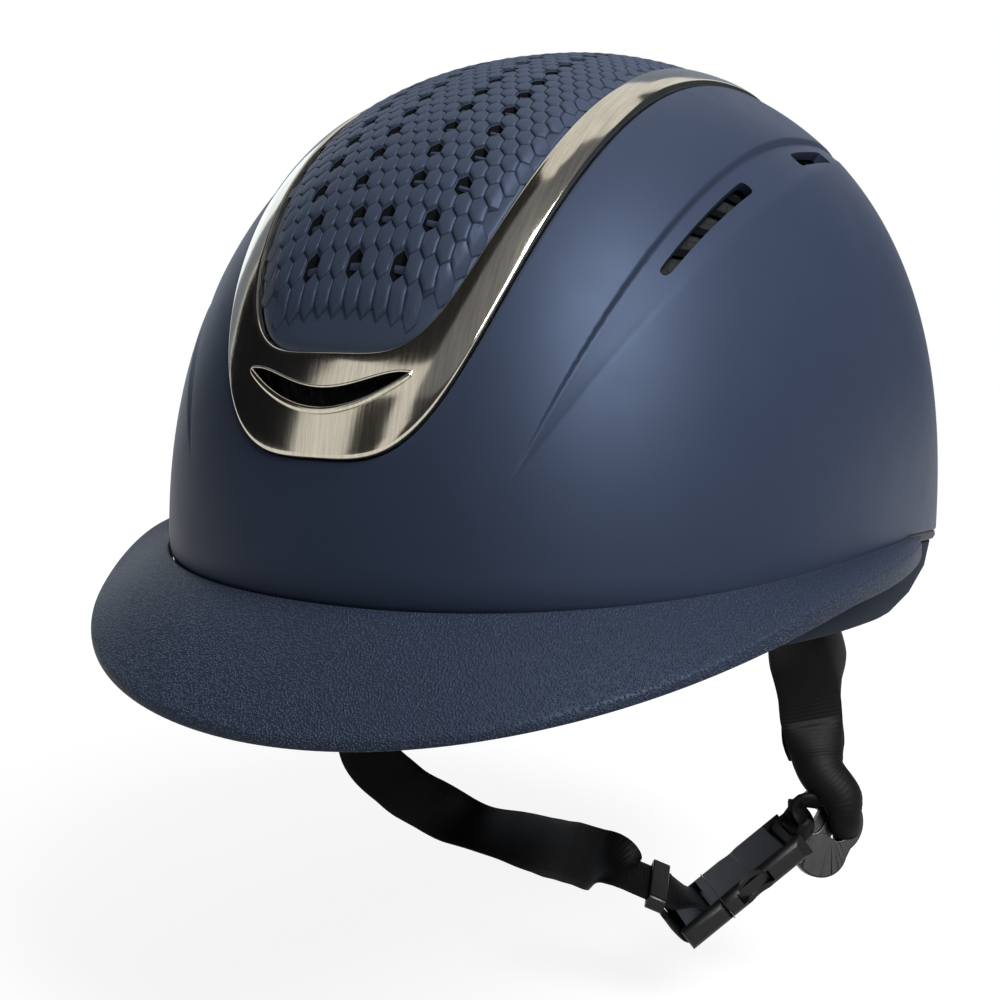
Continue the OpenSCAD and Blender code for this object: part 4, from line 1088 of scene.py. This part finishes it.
def crown_ring(f, d):
    t = np.linspace(0, 360, 96, endpoint=False)
    square = 1 - 0.16 * sin(2 * t) ** 2
    arc, side = 90 - 30 * f * cos(t) * square, 26 * f * sin(t) * square
    return along(aim(arc, side), deeper(FOAM, CROWN_GAP + d))


t = CROWN_PAD_T * 0.85
CROWN_SECTION = ((0.3, 0.02), (0.6, 0.02), (0.93, 0.02), (0.985, 0.25), (0.985, 0.55),
                 (0.94, 0.85), (0.8, 1), (0.5, 1), (0.25, 1))
crown = solid("crown_pad_cloth", bowl(
    along(aim(90.0, 0.0), deeper(FOAM, CROWN_GAP)),
    np.stack([crown_ring(f, d * t) for f, d in CROWN_SECTION]),
    along(aim(90.0, 0.0), deeper(FOAM, CROWN_GAP + t))))
# eight air holes, 7 mm wide, on a ring of 20 mm
drums = []
for k in range(8):
    x, y = 20 * math.cos(math.radians(45 * k)), 20 * math.sin(math.radians(45 * k))
    ring = [(x + 3.5 * math.cos(q), y + 3.5 * math.sin(q))
            for q in np.linspace(0, 2 * math.pi, 20, endpoint=False)]
    drums.append(capped(np.array([[(*p, z) for p in ring]
                                  for z in (FOAM_H - 30, FOAM_H + 15)])))
cut(crown, drums)
v = swell(crown)
r = np.hypot(v[:, 0], v[:, 1])
d = unit(v - points(0 * r, lean(v[:, 2]), 0 * r))
face = along(d, deeper(FOAM, CROWN_GAP))
depth = np.linalg.norm(face, axis=1) - np.linalg.norm(v, axis=1)
gap = np.min([abs(r - q) for q in SEWN_RINGS], axis=0)
dip = SEWN * np.exp(-(gap / WIDE) ** 2) * ease((depth - 2) / 3)
goal = np.clip(depth - dip, 0.1, CROWN_PAD_T)
finish_pad(crown, v + unit(v) * (depth - goal)[:, None], ["crown_pad"])

# %% [markdown]
# ## Harness
# A strap runs through stations: a point, the direction of its width, and its width. A
# Catmull-Rom curve joins them. Where a strap is narrower than its webbing it cups: an arc of
# the full width whose chord is the width that is left.

# %%
def spin(p, turn):
    """Points turned by the part's angles: about X, then Y, then Z."""
    r = Euler([math.radians(q) for q in turn], "XYZ").to_matrix()
    return np.asarray(p, float) @ np.array(r).T


MOUTH, BUCKLE_TURN = np.array([64, -17, -111.5]), (-39, 2, 128.5)
DIVIDER_AT, DIVIDER_TURN = np.array([88, 11, -88.7]), (71.3, 29.2, 29.3)
KEEPER_AT, KEEPER_TURN = np.array([48.3, -27.6, -108.7]), (110.1, -8.9, 112.1)


def local(origin, turn):
    """Gives the function that takes a small part's own coordinates to the helmet's."""
    return lambda *p: origin + spin(p, turn)


at_buckle = local(MOUTH, BUCKLE_TURN)
at_divider = local(DIVIDER_AT, DIVIDER_TURN)
at_keeper = local(KEEPER_AT, KEEPER_TURN)


def foam_x(y):
    a = math.degrees(math.atan2(FOAM_HALF_W * math.sqrt(1 - (y / FOAM_BACK) ** 2), -y))
    return float(ring_r(np.array(a), FOAM) * sin(a))


def anchor_turn(y):
    return math.degrees(math.atan2(foam_x(y - 8) - foam_x(y + 8), 16))


PLATE_X = -(WEB_T + WEB_GAP + 0.6 + ANCHOR_T)
SLOT_Z = -ANCHOR_H / 2 + 4.8


def strap_top(y, flip=False):
    """Stations of a strap's sewn end, behind the plate, through its slot and down."""
    turn, xi = (0, 0, anchor_turn(y)), PLATE_X - WEB_T / 2 - 0.35
    at = [(-0.8 - WEB_T / 2, 0, SLOT_Z + 5), (-0.7 - WEB_T / 2, 0, SLOT_Z + 2.2),
          (PLATE_X + ANCHOR_T / 2, 0, SLOT_Z), (xi, 0, SLOT_Z - 2.2)]
    w = spin((0, 1, 0), turn)
    s = (-1, 1, 1) if flip else (1, 1, 1)
    return [((np.array([foam_x(y), y, ANCHOR_UP]) + spin(p, turn)) * s, w * s, WEB_W)
            for p in at]


def stations(*rows):
    """Stations from rows of point, direction and, where it is not the webbing's, width."""
    return [(np.asarray(p, float), np.asarray(w, float), *(width or (WEB_W,)))
            for p, w, *width in rows]


def through(path, steps):
    """Catmull-Rom through the stations' points, widths and directions."""
    p = np.array([np.concatenate([q, unit(w), [width]]) for q, w, width in path])
    for i in range(1, len(p)):
        if p[i, 3:6] @ p[i - 1, 3:6] < 0:
            p[i, 3:6] *= -1
    p = np.concatenate([[2 * p[0] - p[1]], p, [2 * p[-1] - p[-2]]])
    gaps = np.linalg.norm(np.diff(p[:, :3], axis=0), axis=1) ** 0.5
    out = []
    for i in range(1, len(p) - 2):
        n = max(2, int(round(gaps[i] ** 2 / steps)))
        t0, t1, t2 = gaps[i - 1], gaps[i], gaps[i + 1]
        m1 = (p[i] - p[i - 1]) / t0 - (p[i + 1] - p[i - 1]) / (t0 + t1) + (p[i + 1] - p[i]) / t1
        m2 = (p[i + 1] - p[i]) / t1 - (p[i + 2] - p[i]) / (t1 + t2) + (p[i + 2] - p[i + 1]) / t2
        m1, m2 = m1 * t1, m2 * t1
        u = np.arange(n)[:, None] / n
        out.append((2 * u ** 3 - 3 * u ** 2 + 1) * p[i] + (u ** 3 - 2 * u ** 2 + u) * m1
                   + (3 * u ** 2 - 2 * u ** 3) * p[i + 1] + (u ** 3 - u ** 2) * m2)
    return np.concatenate(out + [p[-2:-1]])


CROSS = 17    # points across the webbing
WEB_STEP, RIPPLE = 0.9, 9    # millimetres from ring to ring, rings to a random value


def ribbon(name, path, nodes, body="helmet", wavy=0.0, seed=0):
    """Webbing along a path, with rounded edges, and its length and width as coordinates."""
    q = through(path, WEB_STEP)
    p, w, width = q[:, :3], q[:, 3:6], q[:, 6]
    t = unit(np.gradient(p, axis=0))
    w = unit(w - t * (w * t).sum(1, keepdims=True))
    up = np.cross(t, w)
    run = np.concatenate([[0], np.cumsum(np.linalg.norm(np.diff(p, axis=0), axis=1))])
    theta = np.sqrt(np.clip(6 * (1 - width / WEB_W), 1e-3, 1.5))
    radius = WEB_W / 2 / theta
    x = np.linspace(-1, 1, CROSS)
    ang = theta[:, None] * x
    chord = radius[:, None] * np.sin(ang)
    chord *= (width / (2 * radius * np.sin(theta)))[:, None]
    sag = radius[:, None] * (np.cos(ang) - np.cos(theta)[:, None])
    edge_y = np.random.default_rng(seed).normal(size=(2, len(run) // RIPPLE + 3))
    at = np.arange(edge_y.shape[1]) * RIPPLE * WEB_STEP
    ripple = np.stack([np.interp(run, at, e) for e in edge_y])
    chord += wavy * (np.where(x < 0, ripple[0][:, None], ripple[1][:, None])) * abs(x) ** 2
    bead = 0.12 * cos(360 * (abs(x) - 0.5) / 0.5) * (abs(x) > 0.75)
    half = WEB_T / 2 * (1 - abs(x) ** 14 * 0.55) * (1 - bead)
    normal = up[:, None] * np.cos(ang)[..., None] + w[:, None] * np.sin(ang)[..., None]
    mid = p[:, None] + w[:, None] * chord[..., None] + up[:, None] * sag[..., None]
    # a little thicker than its nominal size, and more so where it is gathered
    half = half[None, :] * (1.12 + 1.3 * (1 - width / WEB_W)[:, None])
    top, low = mid + normal * half[..., None], mid - normal * half[..., None]
    rings = np.concatenate([top, low[:, ::-1]], 1)
    v, faces = capped(rings)
    across = np.concatenate([x, x[::-1]]) * WEB_W / 2
    uv = grid_uv(len(rings), 2 * CROSS, run, np.concatenate([across, across[:1]]))
    uv = np.concatenate([uv, np.zeros((2 * 2 * CROSS, 2))])    # the two flat ends
    return settle(mesh_object(name, v, faces, web_mat, uv, angle=60), body, nodes)


gathered = 0.5 * WEB_W
left_front = strap_top(ANCHOR_FRONT) + stations(
    ((77.6, -12, -8), (0, 1, 0)), ((77.6, -9.5, -19), (0.1, 1, 0)),
    ((78.8, -2.5, -31), (0.4, 0.9, 0.1)), ((80, 4.5, -40), (0.7, 0.7, 0.1)),
    ((81, 8.8, -49), (0.75, 0.65, 0.1)), ((82, 11, -59), (0.8, 0.6, 0.1)),
    ((83.6, 11, -67.5), (0.8, 0.6, 0.2), 0.86 * WEB_W),
    ((86.2, 9.4, -74.2), (0.75, 0.6, 0.4), 0.7 * WEB_W),
    (at_divider(0.2, 6.4, 4.7), spin((0.3, 0.9, 0.2), DIVIDER_TURN), 0.6 * WEB_W),
    (at_divider(2.8, 3, 3.2), spin((0.2, 0.97, 0), DIVIDER_TURN), 0.54 * WEB_W),
    (at_divider(5.2, 0.9, 0), spin((0.1, 1, 0), DIVIDER_TURN), gathered),
    (at_divider(6.6, 0.7, -4), spin((0, 1, 0), DIVIDER_TURN), gathered))
left_back = strap_top(ANCHOR_BACK) + stations(
    ((71.4, 49.5, -8), (-0.3, 1, 0)), ((71.3, 52, -19), (-0.34, 1, 0)),
    ((72.4, 57.5, -31.5), (-0.08, 0.8, -0.6)), ((77, 49, -37.5), (0.1, 0.62, -0.78)),
    ((79.2, 34, -42.8), (0.3, 0.5, -0.8)), ((79.8, 22.5, -50), (0.55, 0.6, -0.45)),
    ((80.6, 16, -59.5), (0.78, 0.62, 0)), ((82, 14, -67), (0.8, 0.6, 0.1)),
    ((83.2, 13.2, -71.5), (0.8, 0.6, 0.1), 0.86 * WEB_W))
right_back = strap_top(ANCHOR_BACK, True) + stations(
    ((-71.5, 49, -8), (0.3, 1, 0)), ((-72.5, 46, -22), (0.2, 1, 0)),
    ((-75.5, 31, -42), (0, 1, -0.5)), ((-76.2, 12, -59), (0, 0.8, -0.6)),
    ((-74.9, -3.5, -74), (0.1, 0.8, -0.5)),
    ((-70.4, -10.2, -82.4), (0.505, 0.713, -0.33)))
keeper_x, buckle_x = spin((1, 0, 0), KEEPER_TURN), spin((1, 0, 0), BUCKLE_TURN)
chin = strap_top(ANCHOR_FRONT, True) + stations(
    ((-77.6, -12, -8), (0, 1, 0)), ((-78, -10, -22), (0, 1, 0)),
    ((-79.5, -9, -40), (0, 1, 0)), ((-80, -10, -60), (0, 1, 0)),
    ((-79.5, -11.5, -78), (0.2, 1, 0)), ((-76, -12, -91), (0.78, 0.62, 0.1)),
    ((-66, -5, -103.5), (0.72, 0.66, 0.23)), ((-55, 5, -113), (0.6, 0.65, 0.45)),
    ((-43, 8, -117), (0.27, 0.8, 0.5)), ((-24.6, 4.3, -116), (-0.07, 0.78, 0.62)),
    ((-7, -3.4, -113.9), (-0.08, 0.61, 0.79)),
    ((13.3, -18, -108.2), (-0.14, 0.6, 0.79)),
    ((24, -25, -105.8), (-0.22, 0.66, 0.70)),
    ((31.5, -29.4, -104.3), (-0.3, 0.78, 0.52)),
    (at_keeper(0, 0, -11.4), keeper_x), (at_keeper(0, 0, -9.2), keeper_x),
    (at_keeper(0, 0, -4), keeper_x),
    (at_keeper(0, 0, 3.1), keeper_x), (at_keeper(0, 0, 4.4), keeper_x))
chin += stations(*((at_buckle(0, y, z), buckle_x) for y, z in (
    (7.2, 5.6), (4.9, 1.6), (4.7, -1.6), (7, -3.3), (12.6, -3.3), (15.6, -1.2), (16.6, 3),
    (16.6, 9))))
b, g = -SOCKET_L, 1.65 + WEB_T / 2
loop_y = spin((0, 1, 0), DIVIDER_TURN)
loop = stations(
    (at_divider(-3.6, -2.4, -3.4), loop_y, 7.6),
    (at_divider(-3.6, -2.4, 0), loop_y, 7.6),
    (at_divider(-3.9, -2.4, 3.4), loop_y, 7.8),
    (at_divider(-6.2, -1.9, 6.2), loop_y, 0.45 * WEB_W),
    (at_buckle(-2.4, b - 3.4, 5), buckle_x, 0.62 * WEB_W),
    (at_buckle(-0.4, b - 1, g + 0.6), buckle_x, 0.88 * WEB_W),
    (at_buckle(0, b + 2, g), buckle_x), (at_buckle(0, b + 4.8, 0.9), buckle_x),
    (at_buckle(0, b + 4.8, -0.9), buckle_x), (at_buckle(0, b + 2, -g), buckle_x),
    (at_buckle(0, b + 0.5, -g), buckle_x, 0.5 * WEB_W))
ribbon("strap_front", left_front, nodes=["strap_left_front"], wavy=0.08, seed=1)
ribbon("strap_back", left_back, nodes=["strap_left_back"], wavy=0.08, seed=2)
ribbon("strap_far_back", right_back, nodes=["strap_right_back"], wavy=0.08, seed=3)
ribbon("socket_web", loop, nodes=["socket_loop"])
o = ribbon("chin_web", chin, nodes=["chin_strap"], body=None, wavy=0.1, seed=4)
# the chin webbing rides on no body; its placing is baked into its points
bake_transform(o)

# %% [markdown]
# ## Small rigid parts
# The anchors, rivets, meshes, divider, buckle and keeper keep their solids. Their corners
# are merged and rounded, and each gets its material.

# %%
def dress(name, material, width=0.0, segments=3):
    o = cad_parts[name]
    o.data.materials.clear()
    o.data.materials.append(material)
    w = o.modifiers.new("weld", "WELD")
    w.merge_threshold = 0.00001
    if width:
        bevel(o, width, segments, 32)


for n in ("anchor_left_front", "anchor_left_back", "anchor_right_front", "anchor_right_back"):
    dress(n, buckle_mat, 0.5)
dress("anchor_rivets", rivet_mat, 0.2)
dress("hook_spots", hook_mat)
for n in ("intake_mesh", "vent_mesh_left", "vent_mesh_right"):
    dress(n, mesh_mat)
dress("divider", buckle_mat, 1.3, 5)
dress("buckle_socket", buckle_mat, 0.7)
dress("buckle_plug", buckle_mat, 0.6)
for n in ("prong_upper", "prong_lower", "strap_keeper"):
    dress(n, buckle_mat, 0.4)


def blocks(name, body, to_world, boxes):
    """Plastic boxes of one piece, each given by its x, y and z ranges."""
    sides = []
    for (x0, x1), (y0, y1), (z0, z1) in boxes:
        ring = [(x1, z1), (x0, z1), (x0, z0), (x1, z0)]
        box = np.array([[to_world(x, y, z) for x, z in ring] for y in (y0, y1)])
        sides.append(outward(*capped(box)))
    settle(mesh_object(name, *merged(sides), buckle_mat), body)


# the plug's shoulder fills the socket's mouth, and a thin plate closes the seam's corners
w, h = BUCKLE_W / 2 - SOCKET_WALL - 0.15, BUCKLE_T / 2 - SOCKET_WALL - 0.12
blocks("plug_shoulder", "plug", at_buckle, [((-w, w), (-0.9, 0.32), (-h, h))])
w, h = BUCKLE_W / 2 - 0.25, BUCKLE_T / 2 - 0.25
blocks("plug_gasket", "plug", at_buckle, [((-w, w), (0.04, 0.31), (-h, h))])


def lips(side, back, z):
    """Boxes beside and behind the webbing in a window; side and back are y ranges."""
    w = WEB_W / 2
    return [((-w - 0.6, -w + 0.35), side, (-z, z)), ((w - 0.35, w + 0.6), side, (-z, z)),
            ((-w - 0.6, w + 0.6), back, (-z, z))]


blocks("plug_lips", "plug", at_buckle, lips((2.8, 6.6), (2.8, 3.9), 1.3))
blocks("socket_lips", "helmet", at_buckle, lips((2.2 - SOCKET_L, 6.6 - SOCKET_L),
                                                (5.5 - SOCKET_L, 6.6 - SOCKET_L), 0.9))
blocks("divider_lips", "helmet", at_divider, [
    ((1.4, 4.2), (-5.4, 7.2), (-1.3, 1.3)), ((-2.6, 0.2), (-7.4, 2.8), (-1.3, 1.3)),
    ((-7.0, 0.0), (0.2, 2.7), (-1.3, 1.3))])

# %% [markdown]
# ## Stage
# A pale floor under the harness, low enough for the pulled plug to clear it, a white world
# for the camera and for reflections, and soft lamps. The cards are pieces of a far dome that
# only mirrors see: a bright one, greys, and dark flags for the bright frame to mirror.

# %%
def two_sights(m, in_light, in_sight, output):
    """One shader for the camera, mirrors and clear matter, and another for soft light."""
    path, pick = node(m, "ShaderNodeLightPath"), node(m, "ShaderNodeMixShader")
    seen = maths(m, "MAXIMUM", path.outputs["Is Camera Ray"],
                 maths(m, "MAXIMUM", path.outputs["Is Glossy Ray"],
                       path.outputs["Is Transmission Ray"]))
    for out, socket in zip((seen, in_light.outputs[0], in_sight.outputs[0]), pick.inputs):
        join(m, out, socket)
    join(m, pick.outputs[0], m.node_tree.nodes[output].inputs[0])


FLOOR_GAP, FLOOR_HALF = 0.018, 12000.0    # metres below the part, half width in millimetres
floor_mat = shader("floor_white", (0.30, 0.30, 0.30), 0.9, specular=0.2)
glow = node(floor_mat, "ShaderNodeEmission")
spread = node(floor_mat, "ShaderNodeTexCoord")
length = node(floor_mat, "ShaderNodeVectorMath", operation="LENGTH")
far = node(floor_mat, "ShaderNodeMapRange", in_From_Min=0.3, in_From_Max=1.6, in_To_Min=0.88,
           in_To_Max=1.0)
both = node(floor_mat, "ShaderNodeAddShader")
shadow = node(floor_mat, "ShaderNodeBsdfDiffuse", in_Color=(0.22, 0.22, 0.22, 1))
for out, socket in ((spread.outputs["Object"], length.inputs[0]),
                    (length.outputs["Value"], far.inputs["Value"]),
                    (far.outputs["Result"], glow.inputs["Strength"]),
                    (glow.outputs[0], both.inputs[0]), (shadow.outputs[0], both.inputs[1])):
    join(floor_mat, out, socket)
two_sights(floor_mat, bsdf(floor_mat), both, "Material Output")
corners = [(-1, -1), (1, -1), (1, 1), (-1, 1)]
floor = mesh_object("floor", [(FLOOR_HALF * x, FLOOR_HALF * y, 0) for x, y in corners],
                    [(0, 1, 2, 3)], floor_mat)
floor.location.z = cad_box[0].z - FLOOR_GAP

world = bpy.data.worlds.new("studio")
bpy.context.scene.world = world
world.use_nodes = True
two_sights(world,
           node(world, "ShaderNodeBackground", in_Color=(0.93, 0.96, 1, 1), in_Strength=0.07),
           node(world, "ShaderNodeBackground", in_Color=(1, 1, 1, 1), in_Strength=1.0),
           "World Output")


LAMP_AIM = Vector((0, 0, 0.03))
DOME = 2400    # radius of the cards, in millimetres


def lamp(name, azimuth, elevation, distance, size, power, colour=(1, 1, 1)):
    """An area lamp some metres away, turned to the helmet."""
    p = towards(azimuth, elevation) * distance
    light = bpy.data.lights.new(name, "AREA")
    light.shape, light.size, light.size_y = "RECTANGLE", size[0], size[1]
    light.energy, light.color = power, colour
    o = bpy.data.objects.new(name, light)
    o.location = p + LAMP_AIM
    o.rotation_mode = "QUATERNION"
    o.rotation_quaternion = p.to_track_quat("Z", "Y")
    bpy.context.scene.collection.objects.link(o)
    return o


lamp("key", 75, 50, 1.5, (0.9, 0.9), 27).visible_glossy = False
lamp("rim_left", -112, 22, 1.5, (0.6, 1.2), 3, (0.86, 0.93, 1))
lamp("top", 0, 88, 1.4, (1.0, 1.0), 2.5).visible_glossy = False


def card(name, az0, az1, el0, el1, colour, strength=1.0):
    """A card between two azimuths and two elevations, a flag where it is dark."""
    az, el = np.meshgrid(np.linspace(az0, az1, 13), np.linspace(el0, el1, 9), indexing="ij")
    v = DOME * points(sin(az) * cos(el), -cos(az) * cos(el), sin(el)).reshape(-1, 3)
    m = bpy.data.materials.new(name)
    m.use_nodes = True
    glow = node(m, "ShaderNodeEmission", in_Color=(*colour, 1), in_Strength=strength)
    join(m, glow.outputs[0], m.node_tree.nodes["Material Output"].inputs[0])
    o = mesh_object(name, v, grid_faces(13, 9, round_m=False), m)
    o.visible_camera = o.visible_diffuse = o.visible_shadow = o.visible_transmission = False


card("soft_key", 37, 74, 22, 57, (1, 1, 1), 36.0)
card("card_over", 30, 128, 57, 84, (0.20, 0.21, 0.24))
card("card_edge", 30, 37, 20, 57, (0.24, 0.25, 0.28))
card("flag_left", -82, -41.5, 2, 44, (0.012, 0.013, 0.016))
card("card_blue", -170, -84, 2, 50, (0.26, 0.30, 0.37))
card("flag_mid", -30, -19, 2, 21.5, (0.04, 0.04, 0.04))
card("flag_high", -82, -11, 30, 80, (0.03, 0.03, 0.03))
card("card_grey", -11, 30, 20, 80, (0.24, 0.25, 0.28))
card("flag_front", -11, 70, 2, 20, (0.06, 0.06, 0.07))
card("card_right", 70, 177, 2, 60, (0.06, 0.07, 0.085))

bpy.context.scene.view_settings.view_transform = "Standard"
